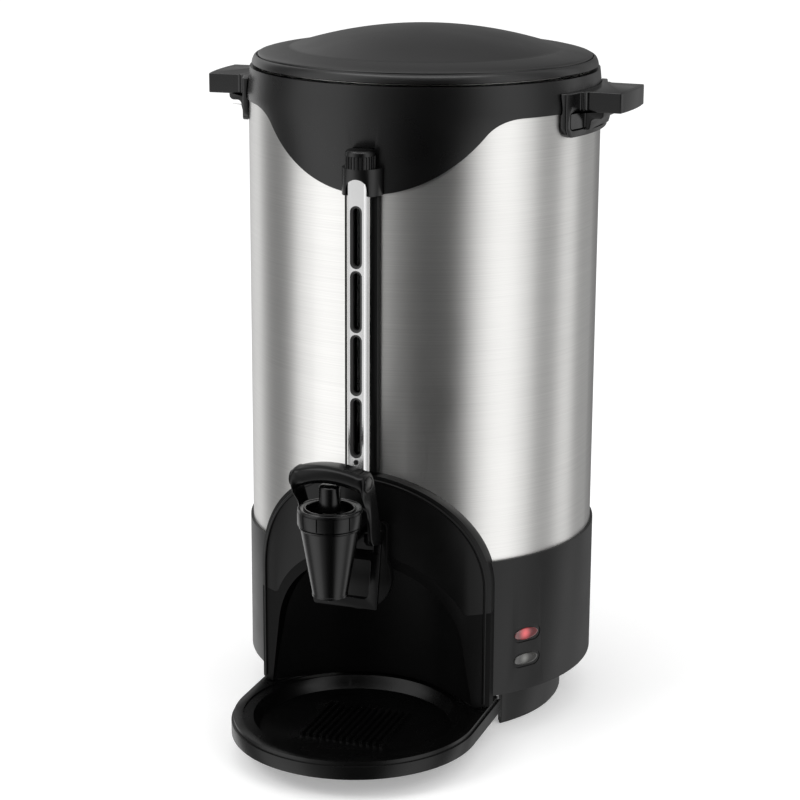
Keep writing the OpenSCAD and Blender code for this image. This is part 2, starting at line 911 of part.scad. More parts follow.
module gauge_glass() color([0.8, 0.9, 0.9, 0.4]) {
    translate([0, gauge_y, 0]) tube(glass_r, glass_r - 1.4, glass_z, glass_top);
}

// The half-round block at the gauge's upper end, on the collar's rounded front
module gauge_holder() color([0.07, 0.07, 0.07]) {
    depth = -holder_y - body_r + 4;
    difference() {
        translate([0, holder_y + holder_half, holder_z]) linear_extrude(holder_top - holder_z) {
            circle(holder_half);
            translate([-holder_half, 0]) square([2 * holder_half, max(depth - holder_half, 1)]);
        }
        cylinder(h = far * 2, r = collar_r + fit_gap);
        along_y(-far, cover_back + fit_gap) cover_2d(-fit_gap);
        translate([0, gauge_y, 0]) cylinder(h = far * 2, r = glass_r + fit_gap);
        translate([0, gauge_y, holder_top - 5.8]) cylinder(h = far, r = glass_r + 1.7);
    }
}

// The knurled cap over the glass's open end
module gauge_cap() color([0.06, 0.06, 0.06]) {
    flutes = 24;
    translate([0, gauge_y, 0]) difference() {
        union() {
            translate([0, 0, holder_top]) cylinder(h = cap_top - holder_top - 1.6, r = cap_r);
            translate([0, 0, cap_top - 1.6 - eps]) cylinder(h = 1.6, r1 = cap_r, r2 = cap_r - 1.6);
            translate([0, 0, holder_top - 2.6]) cylinder(h = 3, r = glass_r + 1.6);
        }
        translate([0, 0, holder_top - 3]) cylinder(h = 8, r = glass_r + 0.3);
        for (i = [0:flutes - 1]) rotate([0, 0, i * 360 / flutes]) {
            translate([cap_r + 0.2, 0, holder_top - 1]) cylinder(h = 9, r = 0.7, $fn = 16);
        }
    }
}

// The elbow that takes water from the tank to the foot of the glass
module gauge_elbow() color([0.75, 0.72, 0.6]) {
    difference() {
        union() {
            translate([0, gauge_y, cover_z + 0.3]) {
                cylinder(h = elbow_top - cover_z - 0.3, r = elbow_r);
            }
            rod_y(pipe_r, gauge_y, -(tank_r - 5), elbow_z);
            translate([-3, cover_y + cover_t + fit_gap, gauge_screw_z - 3]) {
                cube([6, elbow_r - glass_r, 5]);
            }
        }
        translate([0, gauge_y, glass_z]) cylinder(h = far, r = glass_r + fit_gap);
        translate([0, gauge_y, glass_seal_z]) cylinder(h = far, r = glass_r + 1.4);
        translate([0, gauge_y, elbow_z - 1]) cylinder(h = 9, r = glass_r - 1.4);
        rod_y(pipe_r - 1.4, gauge_y, 0, elbow_z);
        rod_y(1.2, -far, gauge_y - glass_r - 0.5, gauge_screw_z);
    }
}

// Silicone rings: round both ends of the glass, and round the elbow at the tank
module gauge_seals() color([0.2, 0.2, 0.2]) {
    translate([0, gauge_y, 0]) {
        tube(glass_r + 1.3, glass_r + fit_gap, glass_seal_z, elbow_top - 0.2);
        tube(glass_r + 1.6, glass_r + fit_gap, holder_top - 5.8, holder_top - 3.2);
    }
    intersection() {
        tube(tank_r + 2.5, tank_r + 0.05, 0, far);
        difference() {
            rod_y(pipe_r + 4, -far, 0, elbow_z);
            rod_y(pipe_r + 0.05, -far, 0, elbow_z);
        }
    }
}

module gauge_screw() color([0.8, 0.8, 0.8]) {
    rod_y(1.7, cover_y - 0.7, cover_y, gauge_screw_z);
    rod_y(1.1, cover_y - eps, gauge_y - glass_r - 0.6, gauge_screw_z);
}

// ---------------------------------------------------------------- tap

// The keyhole-shaped plate on the panel's face that carries the lever's two lugs
module tap_plate() color([0.05, 0.05, 0.05]) {
    corner = 4;
    shoulder = acos(tap_plate_half / tap_plate_r);
    difference() {
        union() {
            difference() {
                along_y(tap_plate_y, -panel_face / 2) polygon(mirrored(concat(
                    arc([tap_plate_half - corner, shank_z - corner], corner, 90, 0, 12),
                    arc([0, shank_z - 40.3], tap_plate_r, shoulder, -90)
                )));
                cylinder(h = far * 2, r = panel_face + fit_gap);
            }
            both_sides() {
                along_x(lug_in, lug_out) polygon(concat(
                    arc([pivot_y, pivot_z], hub_r, 90, 270, 24),
                    [[tap_plate_y + 1, pivot_z - hub_r], [tap_plate_y + 1, pivot_z + hub_r]]
                ));
            }
        }
        rod_y(shank_r + fit_gap, -far, 0, shank_z);
        rod_x(pin_r + fit_gap / 2, -far, far, pivot_y, pivot_z);
    }
}

// The threaded tube that leads water from the tank to the tap
module tap_shank() color([0.75, 0.75, 0.74]) {
    difference() {
        rod_y(shank_r, tap_y + 18.6, -(tank_r - 11), shank_z);
        rod_y(shank_r - 3.5, -far, 0, shank_z);
    }
}

// The hexagon nut inside the tank
module tap_nut() color([0.78, 0.78, 0.77]) {
    nut_y = -(tank_r - 4.8);
    difference() {
        translate([0, nut_y + 6, shank_z]) rotate([90, 0, 0]) {
            cylinder(h = 6, r = shank_r + 4, $fn = 6);
        }
        rod_y(shank_r + 0.05, -far, 0, shank_z);
    }
}

// Seals on the shank: inside the tank, and between the tank and the steel body
module tap_washers() color([0.3, 0.3, 0.3]) {
    difference() {
        union() {
            intersection() {
                rod_y(shank_r + 2.4, -far, -(tank_r - 4.8), shank_z);
                cylinder(h = far, r = tank_r - steel_t - 0.05);
            }
            intersection() {
                rod_y(shank_r + 4.5, -far, 0, shank_z);
                tube(body_r - steel_t - 0.05, tank_r + 0.05, 0, far);
            }
        }
        rod_y(shank_r + 0.05, -far, 0, shank_z);
    }
}

// The tapered tap body with its valve seat and outlet
module tap_body() color([0.04, 0.04, 0.04]) {
    difference() {
        union() {
            translate([0, tap_y, cone_z]) {
                cylinder(h = cone_top - cone_z, r1 = cone_tip_r, r2 = cone_top_r);
            }
            rod_y(neck_r, tap_y, tap_plate_y, shank_z);
        }
        translate([0, tap_y, 0]) {
            translate([0, 0, seat_z]) cylinder(h = far, r = chamber_r);
            translate([0, 0, seat_z - 3]) cylinder(h = 4, r = seat_r);
            translate([0, 0, cone_z - 1]) cylinder(h = seat_z - 2 - cone_z + 1, r = outlet_r);
        }
        rod_y(shank_r + fit_gap, tap_y + 18.5, 0, shank_z);
        rod_y(shank_r - 3.5, tap_y, 0, shank_z);
    }
}

// The bonnet that closes the tap and guides the plunger's stem
module tap_bonnet() color([0.85, 0.85, 0.82]) {
    translate([0, tap_y, 0]) difference() {
        union() {
            translate([0, 0, cone_top - 7]) cylinder(h = 7 + eps, r = chamber_r - fit_gap);
            translate([0, 0, cone_top]) cylinder(h = flange_top - cone_top, r = 17.5);
        }
        cylinder(h = far, r = stem_r + run_gap);
    }
}

// The lobed ring nut with a dished top
module tap_ring() color([0.05, 0.05, 0.05]) {
    lobes = 10;
    translate([0, tap_y, 0]) difference() {
        translate([0, 0, cone_top + 0.2]) cylinder(h = ring_top - cone_top - 0.2, r = ring_r);
        translate([0, 0, cone_top]) cylinder(h = flange_top - cone_top + fit_gap, r = 17.5 + fit_gap);
        cylinder(h = far, r = plunger_r + 0.6);
        translate([0, 0, flange_top + 2.5]) {
            cylinder(h = ring_top - flange_top - 2.5 + eps, r1 = plunger_r + 1.5, r2 = ring_r - 3);
        }
        for (i = [0:lobes - 1]) rotate([0, 0, (i + 0.5) * 360 / lobes]) {
            translate([ring_r + 5.2, 0, cone_top - 1]) cylinder(h = far, r = 6);
        }
    }
}

// The moving valve: a round head on a thin stem with a foot under the seal
module plunger() color([0.05, 0.05, 0.05]) {
    seal_z = seat_z - 2 - 3.9;
    translate([0, tap_y, 0]) {
        difference() {
            translate([0, 0, head_z]) cylinder(h = head_top - head_z, r = plunger_r);
            translate([0, 0, head_z - 1]) cylinder(h = head_top - head_z - 2, r = plunger_r - 1.2);
        }
        translate([0, 0, seal_z - 3.5]) cylinder(h = head_top - seal_z, r = stem_r);
        translate([0, 0, seal_z - 3.5]) cylinder(h = 3.5, r = seat_r + 0.5);
    }
}

// The silicone disc that closes the seat from below
module seat_seal() color([0.8, 0.8, 0.78]) {
    translate([0, tap_y, 0]) {
        tube(seal_r, stem_r + 0.05, seat_z - 2 - 3.9, seat_z - 2 - 0.05);
    }
}

// The coil spring inside the plunger's head
// One ring of points round the spring's wire at step i of n, between two heights
function spring_ring(i, n, z0, z1) = [
    for (s = [0:spring_sides - 1])
        let (turn = 360 * spring_turns * i / n, side = 360 * s / spring_sides,
             r = spring_r + spring_wire * cos(side))
        [r * cos(turn), r * sin(turn), z0 + (z1 - z0) * i / n + spring_wire * sin(side)]
];

module tap_spring() color([0.8, 0.8, 0.8]) {
    n = spring_turns * spring_steps;
    z0 = flange_top + spring_wire + 0.05;
    z1 = head_top - 3 - spring_wire - 0.05;
    points = [for (i = [0:n]) each spring_ring(i, n, z0, z1)];
    sides = [for (i = [0:n - 1], s = [0:spring_sides - 1])
        let (a = i * spring_sides, t = (s + 1) % spring_sides)
        [a + s, a + spring_sides + s, a + spring_sides + t, a + t]];
    ends = [[for (s = [0:spring_sides - 1]) s],
            [for (s = [0:spring_sides - 1]) n * spring_sides + spring_sides - 1 - s]];
    translate([0, tap_y, 0]) polyhedron(points, concat(sides, ends));
}

// The two pivot pins, one through each lug
module lever_pins() color([0.8, 0.8, 0.8]) {
    both_sides() rod_x(pin_r, lug_in, hub_out + 0.3, pivot_y, pivot_z);
}

// Side view of the leaning trigger frame, cut to a band of heights
module trigger_2d(z0, z1) {
    lean = 11 / 57;
    foot_y = pivot_y - (pivot_z - frame_foot_z) * lean;
    intersection() {
        translate([-far, z0]) square([2 * far, z1 - z0]);
        polygon([for (p = [[-0.5, 0], [0.5, 0], [0.5, 57], [-0.5, 57]])
            [foot_y + p.x * frame_t + p.y * lean, frame_foot_z + p.y]]);
    }
}

// The lever: a bail over the plunger, two arms and a trigger frame, all one piece
module tap_lever() color([0.04, 0.04, 0.04]) {
    end_h = 16;
    end_z = bail_z - bail_sag;
    arm_foot = pivot_z + 7;
    arm_top = end_z - 2;
    difference() {
        union() {
            // arched bar
            intersection() {
                translate([0, bail_y, bail_z - bail_bend]) rotate([90, 0, 0]) rotate_extrude($fn = 180) {
                    translate([bail_bend, 0]) rotate(90) stadium(bail_d, bail_h);
                }
                translate([-bail_half, -far, end_z - 10]) cube([2 * bail_half, far, far]);
            }
            // pad that presses the plunger
            translate([-4, bail_y - 2, head_top + 0.9]) cube([8, 6, 4]);
            both_sides() {
                along_x(arm_in, bail_half) translate([bail_y, end_z]) stadium(bail_d, end_h);
                along_x(arm_in, bail_half - 0.6) polygon([
                    [bail_y - 8, arm_top], [bail_y + 6.5, arm_top - 17], [bail_y + 18, arm_foot],
                    [bail_y + 27, arm_foot], [bail_y + 18.5, arm_top - 17], [bail_y + 11, arm_top - 7],
                    [bail_y + 9.5, arm_top],
                ]);
                along_x(hub_in, bail_half - 2.5) polygon([
                    [bail_y + 15, arm_foot + 6], [bail_y + 18, arm_foot], [pivot_y - 4, pivot_z],
                    [pivot_y + 4, pivot_z], [bail_y + 27, arm_foot], [bail_y + 24, arm_foot + 6],
                ]);
                rod_x(hub_r, hub_in, hub_out, pivot_y, pivot_z);
                along_x(hub_in, hub_out) trigger_2d(frame_foot_z, pivot_z + 4);
                along_x(hub_out - rail_w, hub_out) trigger_2d(frame_foot_z, frame_foot_z + 39);
            }
            along_x(-hub_out, hub_out) trigger_2d(frame_foot_z, frame_foot_z + 7);
            along_x(-hub_out, hub_out) trigger_2d(frame_foot_z + 33, frame_foot_z + 39);
        }
        rod_x(pin_r + run_gap, -far, far, pivot_y, pivot_z);
        // oval recesses in the bar's ends
        both_sides() along_x(bail_half - 8, far) translate([bail_y, end_z]) {
            stadium(bail_d - 4, end_h - 4);
        }
    }
}

// ---------------------------------------------------------------- percolator

module pump_tube() color([0.75, 0.75, 0.74]) {
    foot_h = 8;
    tube(tube_r, tube_r - 0.8, tank_floor + foot_h - 1, tube_top);
    // bell foot on the tank's floor
    difference() {
        translate([0, 0, tank_floor]) cylinder(h = foot_h, r1 = 30, r2 = 22);
        translate([0, 0, tank_floor - eps]) cylinder(h = foot_h - 1, r1 = 29, r2 = 21);
        translate([0, 0, tank_floor]) cylinder(h = far, r = tube_r - 0.8);
        for (a = [0:90:270]) rotate([0, 0, a]) translate([26, 0, tank_floor - 1]) {
            cylinder(h = 4, r = 3);
        }
    }
    // stop ring under the basket
    tube(tube_r + 5, tube_r - 0.4, basket_z - 2.5, basket_z);
}

module coffee_basket() color([0.78, 0.78, 0.77]) {
    difference() {
        translate([0, 0, basket_z]) cylinder(h = basket_h, r = basket_r);
        translate([0, 0, basket_z + basket_t]) cylinder(h = far, r = basket_r - basket_t);
        for (ring = [1:4]) for (i = [0:5 * ring + 2]) {
            rotate([0, 0, i * 360 / (5 * ring + 3)]) {
                translate([6 + ring * 11, 0, basket_z - 1]) cylinder(h = 4, r = 1.5, $fn = 16);
            }
        }
        cylinder(h = far * 2, r = sleeve_r);
    }
    // sleeve that slides over the pump tube
    tube(sleeve_r + 1.2, sleeve_r, basket_z, basket_z + basket_h - 2);
}

module basket_lid() color([0.78, 0.78, 0.77]) {
    z = basket_z + basket_h;
    difference() {
        union() {
            translate([0, 0, z]) cylinder(h = basket_t, r = basket_r + 1);
            tube(sleeve_r + 3, sleeve_r, z, z + 7);
        }
        for (ring = [1:3]) for (i = [0:6 * ring - 1]) {
            rotate([0, 0, i * 60 / ring]) {
                translate([6 + ring * 14, 0, z - 1]) cylinder(h = 4, r = 1.5, $fn = 16);
            }
        }
        cylinder(h = far * 2, r = sleeve_r);
    }
}

// ---------------------------------------------------------------- electrics

module lamp_lens(z) {
    rotate([0, 0, lamp_angle]) along_y(-(body_r + base_step - recess_d + 0.5), -lens_back) {
        translate([0, z]) stadium(lamp_w, lamp_h);
    }
}

module lamp_lens_red() color([0.75, 0.1, 0.05]) lamp_lens(lamp_zs[0]);

module lamp_lens_amber() color([0.95, 0.55, 0.15]) lamp_lens(lamp_zs[1]);

module lamp_bulbs() color([1, 0.8, 0.5]) {
    at_lamps(-lens_back + 0.3, -lens_back + 9) circle(2.5);
}

module lamp_holders() color([0.85, 0.85, 0.82]) {
    difference() {
        at_lamps(-(body_r + base_step - base_t - 0.7), -lens_back + 11) square([22, 14], center = true);
        at_lamps(-far, -lens_back + 0.1) stadium(lamp_w + 2 * fit_gap, lamp_h + 2 * fit_gap);
        at_lamps(-far, -lens_back + 9) circle(2.6);
    }
}

module heater_plate() color([0.7, 0.7, 0.72]) {
    translate([0, 0, heater_z]) cylinder(h = heater_t, r = heater_r);
}

// The ring element with its two terminals
module heater_element() color([0.6, 0.58, 0.55]) {
    ring_z = heater_z - element_tube - 0.05;
    translate([0, 0, ring_z]) rotate_extrude() translate([element_r, 0]) circle(element_tube, $fn = 32);
    for (x = [-8, 8]) translate([x, element_r - 1, ring_z - 18]) cylinder(h = 18, r = 2);
}

// The strip and stud that press the element and plate against the tank
module heater_clamp() color([0.65, 0.65, 0.65]) {
    strip_z = heater_z - 2 * element_tube - 0.05;
    translate([-50, -8, strip_z - 2]) cube([100, 16, 2]);
    translate([0, 0, strip_z - 8]) cylinder(h = heater_z - strip_z + 8, r = 3);
    translate([0, 0, strip_z - 7]) cylinder(h = 5.1, r = 6, $fn = 6);
}

module thermostats() color([0.85, 0.83, 0.78]) {
    for (y = [-22, 22]) translate([0, y, heater_z - 6]) {
        cylinder(h = 6, r = 8.5);
        for (x = [-5, 5]) translate([x - 0.4, -3, -8]) cube([0.8, 6, 8.1]);
    }
}

module thermal_fuse() color([0.9, 0.9, 0.9]) {
    rod_x(2.5, 15, 31, 18, heater_z - 2.6);
    rod_x(0.6, 12.5, 32.5, 18, heater_z - 2.6);
}

module terminal_block() color([0.9, 0.9, 0.88]) {
    difference() {
        translate([-20, 50, plate_top]) cube([40, 20, 18]);
        for (x = [-12, 0, 12]) translate([x, 60, plate_top + 8]) cylinder(h = 20, r = 2.6);
    }
}

// A chain of straight rods with round joints through a list of points
module wire(points, r) {
    for (i = [0:len(points) - 2]) {
        p = points[i];
        d = points[i + 1] - p;
        translate(p) rotate([0, acos(d.z / norm(d)), atan2(d.y, d.x)]) {
            cylinder(h = norm(d), r = r, $fn = 24);
        }
    }
    for (i = [1:1:len(points) - 2]) translate(points[i]) sphere(r * 1.15, $fn = 24);
}

// The leads between gland, terminal block, element and lamps
module wires() color([0.7, 0.2, 0.15]) {
    block_z = plate_top + 8.1;
    element_z = heater_z - element_tube - 18.3;
    lamp_r = lens_back - 11.3;
    for (side = [-1, 1]) {
        wire([[side * 12, 60, block_z], [side * 12, 60, element_z - 14],
              [side * 8, element_r - 1, element_z - 6], [side * 8, element_r - 1, element_z]], 1.4);
    }
    wire([[0, 60, block_z], [0, 60, plate_top + 24], [60, 20, plate_top + 24],
          [lamp_r * sin(lamp_angle) - 6, -lamp_r * cos(lamp_angle) + 4, lamp_zs[1]],
          [lamp_r * sin(lamp_angle), -lamp_r * cos(lamp_angle), lamp_zs[1]]], 1.4);
}

// The gland that the mains cord enters through, at the back of the base
module cord_gland() color([0.06, 0.06, 0.06]) {
    r = body_r + base_step;
    difference() {
        union() {
            rod_y(gland_r, r - base_t - 9, r + 0.3, gland_z);
            rod_y(gland_flange, r + fit_gap, r + 4, gland_z);
        }
        rod_y(gland_bore, 0, far, gland_z);
    }
}

module gland_nut() color([0.06, 0.06, 0.06]) {
    r = body_r + base_step - base_t;
    difference() {
        translate([0, r - 0.7, gland_z]) rotate([90, 0, 0]) {
            cylinder(h = 6, r = gland_flange, $fn = 6);
        }
        rod_y(gland_r + 0.05, 0, far, gland_z);
    }
}

// ---------------------------------------------------------------- nodes

outer_shell();
collar();
inner_tank();
base_shell();
bottom_plate();
foot_ring();
foot_grip();
niche_frame();
arch_cover();
handle_left();
handle_right();
handle_plates();
handle_screws();
gauge_channel();
gauge_cover();
gauge_glass();
gauge_holder();
gauge_cap();
gauge_elbow();
gauge_seals();
gauge_screw();
tap_plate();
tap_shank();
tap_nut();
tap_washers();
tap_body();
tap_bonnet();
tap_ring();
lever_pins();
tray_rails();
base_screws();
plate_screws();
lamp_lens_red();
lamp_lens_amber();
lamp_bulbs();
lamp_holders();
heater_plate();
heater_element();
heater_clamp();
thermostats();
thermal_fuse();
terminal_block();
wires();
cord_gland();
gland_nut();
lid_shell();
lid_liner();
lid_seal();
drip_tray();
tap_lever();
plunger();
seat_seal();
tap_spring();
pump_tube();
coffee_basket();
basket_lid();
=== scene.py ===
"""Looks of a coffee urn with a percolator, a slotted sight gauge, a bail tap and a drip tray."""

import json
import logging
import math
from contextlib import contextmanager
from dataclasses import dataclass, field
from enum import Enum
from typing import Iterable, Iterator, Sequence

import bmesh
import bpy
from mathutils import Matrix, Vector

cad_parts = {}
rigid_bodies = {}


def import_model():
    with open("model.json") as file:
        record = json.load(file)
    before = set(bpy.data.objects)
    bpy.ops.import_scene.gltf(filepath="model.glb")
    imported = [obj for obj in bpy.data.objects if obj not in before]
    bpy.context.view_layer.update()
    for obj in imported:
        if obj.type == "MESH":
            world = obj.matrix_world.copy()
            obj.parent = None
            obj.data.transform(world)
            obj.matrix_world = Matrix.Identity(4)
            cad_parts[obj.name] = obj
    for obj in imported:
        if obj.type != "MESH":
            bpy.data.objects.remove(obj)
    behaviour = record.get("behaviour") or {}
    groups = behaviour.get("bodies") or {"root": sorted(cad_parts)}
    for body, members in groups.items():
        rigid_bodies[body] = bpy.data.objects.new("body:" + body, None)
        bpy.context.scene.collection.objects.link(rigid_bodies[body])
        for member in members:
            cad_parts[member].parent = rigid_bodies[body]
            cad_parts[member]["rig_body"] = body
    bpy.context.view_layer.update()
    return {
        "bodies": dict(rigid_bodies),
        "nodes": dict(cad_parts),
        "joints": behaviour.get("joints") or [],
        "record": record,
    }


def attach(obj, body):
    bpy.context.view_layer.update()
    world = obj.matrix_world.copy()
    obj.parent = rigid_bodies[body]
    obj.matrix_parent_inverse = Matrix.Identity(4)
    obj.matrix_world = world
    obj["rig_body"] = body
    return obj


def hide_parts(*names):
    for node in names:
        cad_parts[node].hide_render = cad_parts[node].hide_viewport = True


LOG = logging.getLogger("urn")
MM = 0.001
Point2 = tuple[float, float]
Point3 = tuple[float, float, float]
Colour = tuple[float, float, float, float]
Sockets = bpy.types.bpy_prop_collection
SMOOTH_ANGLE = math.radians(32)
DOUBLES = 0.0005
FINE_MERGE = 0.003
PER_METRE = 1000.0
MASK_LOW, MASK_HIGH = 0.3, 0.7


# ---------------------------------------------------------------- meshes


def link_object(name: str, data: bpy.types.ID) -> bpy.types.Object:
    """Makes an object of a mesh, light or camera and links it to the scene.

    Args:
        name: name of the new object.
        data: its mesh, light or camera.

    Returns:
        The object.
    """
    obj = bpy.data.objects.new(name, data)
    bpy.context.scene.collection.objects.link(obj)
    return obj


def smooth(obj: bpy.types.Object, angle: float = SMOOTH_ANGLE) -> bpy.types.Object:
    """Shades a mesh object smooth, with sharp edges above an angle.

    Args:
        obj: the mesh object.
        angle: the angle in radians.

    Returns:
        The same object.
    """
    obj.data.shade_smooth()
    obj.data.set_sharp_from_angle(angle=angle)
    return obj


@contextmanager
def edited(obj: bpy.types.Object) -> Iterator[bmesh.types.BMesh]:
    """Opens an object's mesh for editing and writes it back.

    Args:
        obj: the mesh object.

    Yields:
        Its mesh as a BMesh.
    """
    bm = bmesh.new()
    bm.from_mesh(obj.data)
    yield bm
    bm.to_mesh(obj.data)
    bm.free()


def full_turn(steps: int) -> list[float]:
    """Angles in radians that split a full turn into equal steps."""
    return [2 * math.pi * i / steps for i in range(steps)]


def link_mesh(name: str, verts: Sequence[Point3], faces: Sequence[Sequence[int]]) -> bpy.types.Object:
    """Makes a mesh object from points in millimetres.

    Args:
        name: name of the new object.
        verts: points in millimetres.
        faces: lists of point numbers.

    Returns:
        The object, linked to the scene, with its mesh in metres.
    """
    mesh = bpy.data.meshes.new(name)
    mesh.from_pydata([(x * MM, y * MM, z * MM) for x, y, z in verts], [], faces)
    mesh.validate()
    return link_object(name, mesh)


def tidy_mesh(obj: bpy.types.Object) -> bpy.types.Object:
    """Merges doubles, turns the faces outwards and shades the mesh smooth up to an angle.

    Args:
        obj: mesh object to tidy.

    Returns:
        The same object.
    """
    with edited(obj) as bm:
        bmesh.ops.remove_doubles(bm, verts=bm.verts, dist=DOUBLES * MM)
        bmesh.ops.dissolve_degenerate(bm, edges=bm.edges, dist=DOUBLES * MM * 0.5)
        bmesh.ops.recalc_face_normals(bm, faces=bm.faces)
    return smooth(obj)


def apply_all(obj: bpy.types.Object) -> bpy.types.Object:
    """Turns an object's modifiers into its plain mesh and removes them.

    Args:
        obj: the object.

    Returns:
        The same object.
    """
    bpy.context.view_layer.update()
    depsgraph = bpy.context.evaluated_depsgraph_get()
    mesh = bpy.data.meshes.new_from_object(obj.evaluated_get(depsgraph), depsgraph=depsgraph)
    materials = list(obj.data.materials)
    obj.modifiers.clear()
    obj.data = mesh
    if not mesh.materials:
        for material in materials:
            mesh.materials.append(material)
    return obj


def arc(centre: Point2, radius: float, start: float, end: float, steps: int) -> list[Point2]:
    """Points on an arc.

    Args:
        centre: centre of the arc.
        radius: its radius.
        start: angle of the first point, in degrees.
        end: angle of the last point, in degrees.
        steps: number of steps between them.

    Returns:
        The points, both ends among them.
    """
    turn = [math.radians(start + (end - start) * i / steps) for i in range(steps + 1)]
    return [(centre[0] + radius * math.cos(a), centre[1] + radius * math.sin(a)) for a in turn]


def rounded(corners: Sequence[tuple[float, float, float]], steps: int = 5) -> list[Point2]:
    """A closed outline with its corners rounded.

    Args:
        corners: each corner's two coordinates and its radius, 0 for a sharp one.
        steps: steps in each rounding.

    Returns:
        The outline's points.
    """
    out: list[Point2] = []
    count = len(corners)
    for i, (x, y, r) in enumerate(corners):
        here = Vector((x, y))
        before = Vector(corners[i - 1][:2]) - here
        after = Vector(corners[(i + 1) % count][:2]) - here
        if r <= 0 or before.length < 1e-9 or after.length < 1e-9:
            out.append((x, y))
            continue
        angle = before.angle(after, 0.0)
        if angle < 0.02 or abs(angle - math.pi) < 0.02:
            out.append((x, y))
            continue
        reach = min(r / math.tan(angle / 2), before.length * 0.49, after.length * 0.49)
        radius = reach * math.tan(angle / 2)
        a = here + before.normalized() * reach
        b = here + after.normalized() * reach
        middle = here + (before.normalized() + after.normalized()).normalized() * math.hypot(reach, radius)
        for k in range(steps + 1):
            t = k / steps
            spoke = (a - middle) * (1 - t) + (b - middle) * t
            swing = (a - middle).angle(b - middle, 0.0)
            if swing > 1e-6:
                u = math.sin((1 - t) * swing) / math.sin(swing)
                v = math.sin(t * swing) / math.sin(swing)
                spoke = (a - middle) * u + (b - middle) * v
            out.append((middle.x + spoke.x, middle.y + spoke.y))
    return out


def loft(name: str, loops: Sequence[Sequence[Point3]], closed: bool = False) -> bpy.types.Object:
    """A surface through closed loops that have the same number of points.

    Args:
        name: name of the new object.
        loops: the loops, in order, in millimetres.
        closed: whether the last loop joins the first one; if not, both are filled.

    Returns:
        The object.
    """
    width = len(loops[0])
    verts = [p for loop in loops for p in loop]
    faces: list[Sequence[int]] = []
    rows = len(loops)
    for i in range(rows if closed else rows - 1):
        a, b = i * width, ((i + 1) % rows) * width
        for j in range(width):
            k = (j + 1) % width
            faces.append((a + j, a + k, b + k, b + j))
    if not closed:
        faces.append(tuple(range(width))[::-1])
        faces.append(tuple((rows - 1) * width + j for j in range(width)))
    return tidy_mesh(link_mesh(name, verts, faces))


def revolve(
    name: str, outline: Sequence[Point2], segments: int, centre: Point2 = (0.0, 0.0)
) -> bpy.types.Object:
    """A closed outline in radius and height turned round a vertical axis.

    Args:
        name: name of the new object.
        outline: radius and height of each point, in millimetres.
        segments: number of steps round the axis.
        centre: X and Y of the axis.

    Returns:
        The object. Points on the axis are merged.
    """
    loops = []
    for a in full_turn(segments):
        c, s = math.cos(a), math.sin(a)
        loops.append([(centre[0] + r * c, centre[1] + r * s, z) for r, z in outline])
    return loft(name, loops, closed=True)


def joined(name: str, parts: Sequence[bpy.types.Object]) -> bpy.types.Object:
    """Joins several plain meshes into one object.

    Args:
        name: name of the joined object.
        parts: objects whose meshes are joined, and which are removed.

    Returns:
        The joined object.
    """
    bm = bmesh.new()
    for part in parts:
        bm.from_mesh(part.data)
    mesh = bpy.data.meshes.new(name)
    bm.to_mesh(mesh)
    bm.free()
    for part in parts:
        bpy.data.objects.remove(part)
    return smooth(link_object(name, mesh))


# ---------------------------------------------------------------- shader tools


class Nodes:
    """Short hand for building a node tree."""

    def __init__(self, tree: bpy.types.NodeTree) -> None:
        """Starts on a node tree."""
        self.tree = tree

    def add(self, kind: str, **values: object) -> bpy.types.Node:
        """Adds a node.

        Args:
            kind: the node's type name.
            values: its attributes, and its sockets' values where the name is a socket's.

        Returns:
            The node.
        """
        node = self.tree.nodes.new(kind)
        for key, value in values.items():
            if hasattr(node, key):
                setattr(node, key, value)
            else:
                node.inputs[key.replace("_", " ")].default_value = value
        return node

    def join(self, source: bpy.types.NodeSocket, target: bpy.types.NodeSocket) -> None:
        """Links two sockets."""
        self.tree.links.new(source, target)

    def feed(self, value: object, target: bpy.types.NodeSocket) -> None:
        """Gives an input a number or colour, or links a socket to it.

        Args:
            value: the number, colour or socket.
            target: the input.
        """
        if isinstance(value, bpy.types.NodeSocket):
            self.join(value, target)
        else:
            target.default_value = value

    def maths(self, operation: str, *values: object, clamp: bool = False) -> bpy.types.NodeSocket:
        """A maths node.

        Args:
            operation: its operation.
            values: numbers or sockets for its inputs.
            clamp: whether the result is held between 0 and 1.

        Returns:
            Its result.
        """
        node = self.tree.nodes.new("ShaderNodeMath")
        node.operation = operation
        node.use_clamp = clamp
        for socket, value in zip(node.inputs, values):
            self.feed(value, socket)
        return node.outputs[0]

    def mix(self, amount: object, low: object, high: object) -> bpy.types.NodeSocket:
        """A mix of two colours.

        Args:
            amount: the share of the second colour, a number or a socket.
            low: the first colour, or a socket.
            high: the second colour, or a socket.

        Returns:
            The mixed colour.
        """
        node = self.tree.nodes.new("ShaderNodeMix")
        node.data_type = "RGBA"
        factor, first, second, mixed = 0, 6, 7, 2
        for i, value in ((factor, amount), (first, low), (second, high)):
            self.feed(value, node.inputs[i])
        return node.outputs[mixed]

    def group(self, tree: bpy.types.NodeTree, **values: object) -> Sockets:
        """Puts a shader group into the tree with its own values.

        Args:
            tree: the group.
            values: its inputs by name.

        Returns:
            The group's outputs.
        """
        node = self.add("ShaderNodeGroup")
        node.node_tree = tree
        for key, value in values.items():
            node.inputs[key].default_value = value
        return node.outputs

    def spread(self, mask: bpy.types.NodeSocket, low: float, high: float) -> bpy.types.NodeSocket:
        """Maps a mask from its usual range onto two values.

        Args:
            mask: the mask.
            low: value at the low end.
            high: value at the high end.

        Returns:
            The mapped value.
        """
        node = self.add("ShaderNodeMapRange")
        for key, value in (("From Min", MASK_LOW), ("From Max", MASK_HIGH), ("To Min", low), ("To Max", high)):
            node.inputs[key].default_value = value
        self.join(mask, node.inputs["Value"])
        return node.outputs[0]


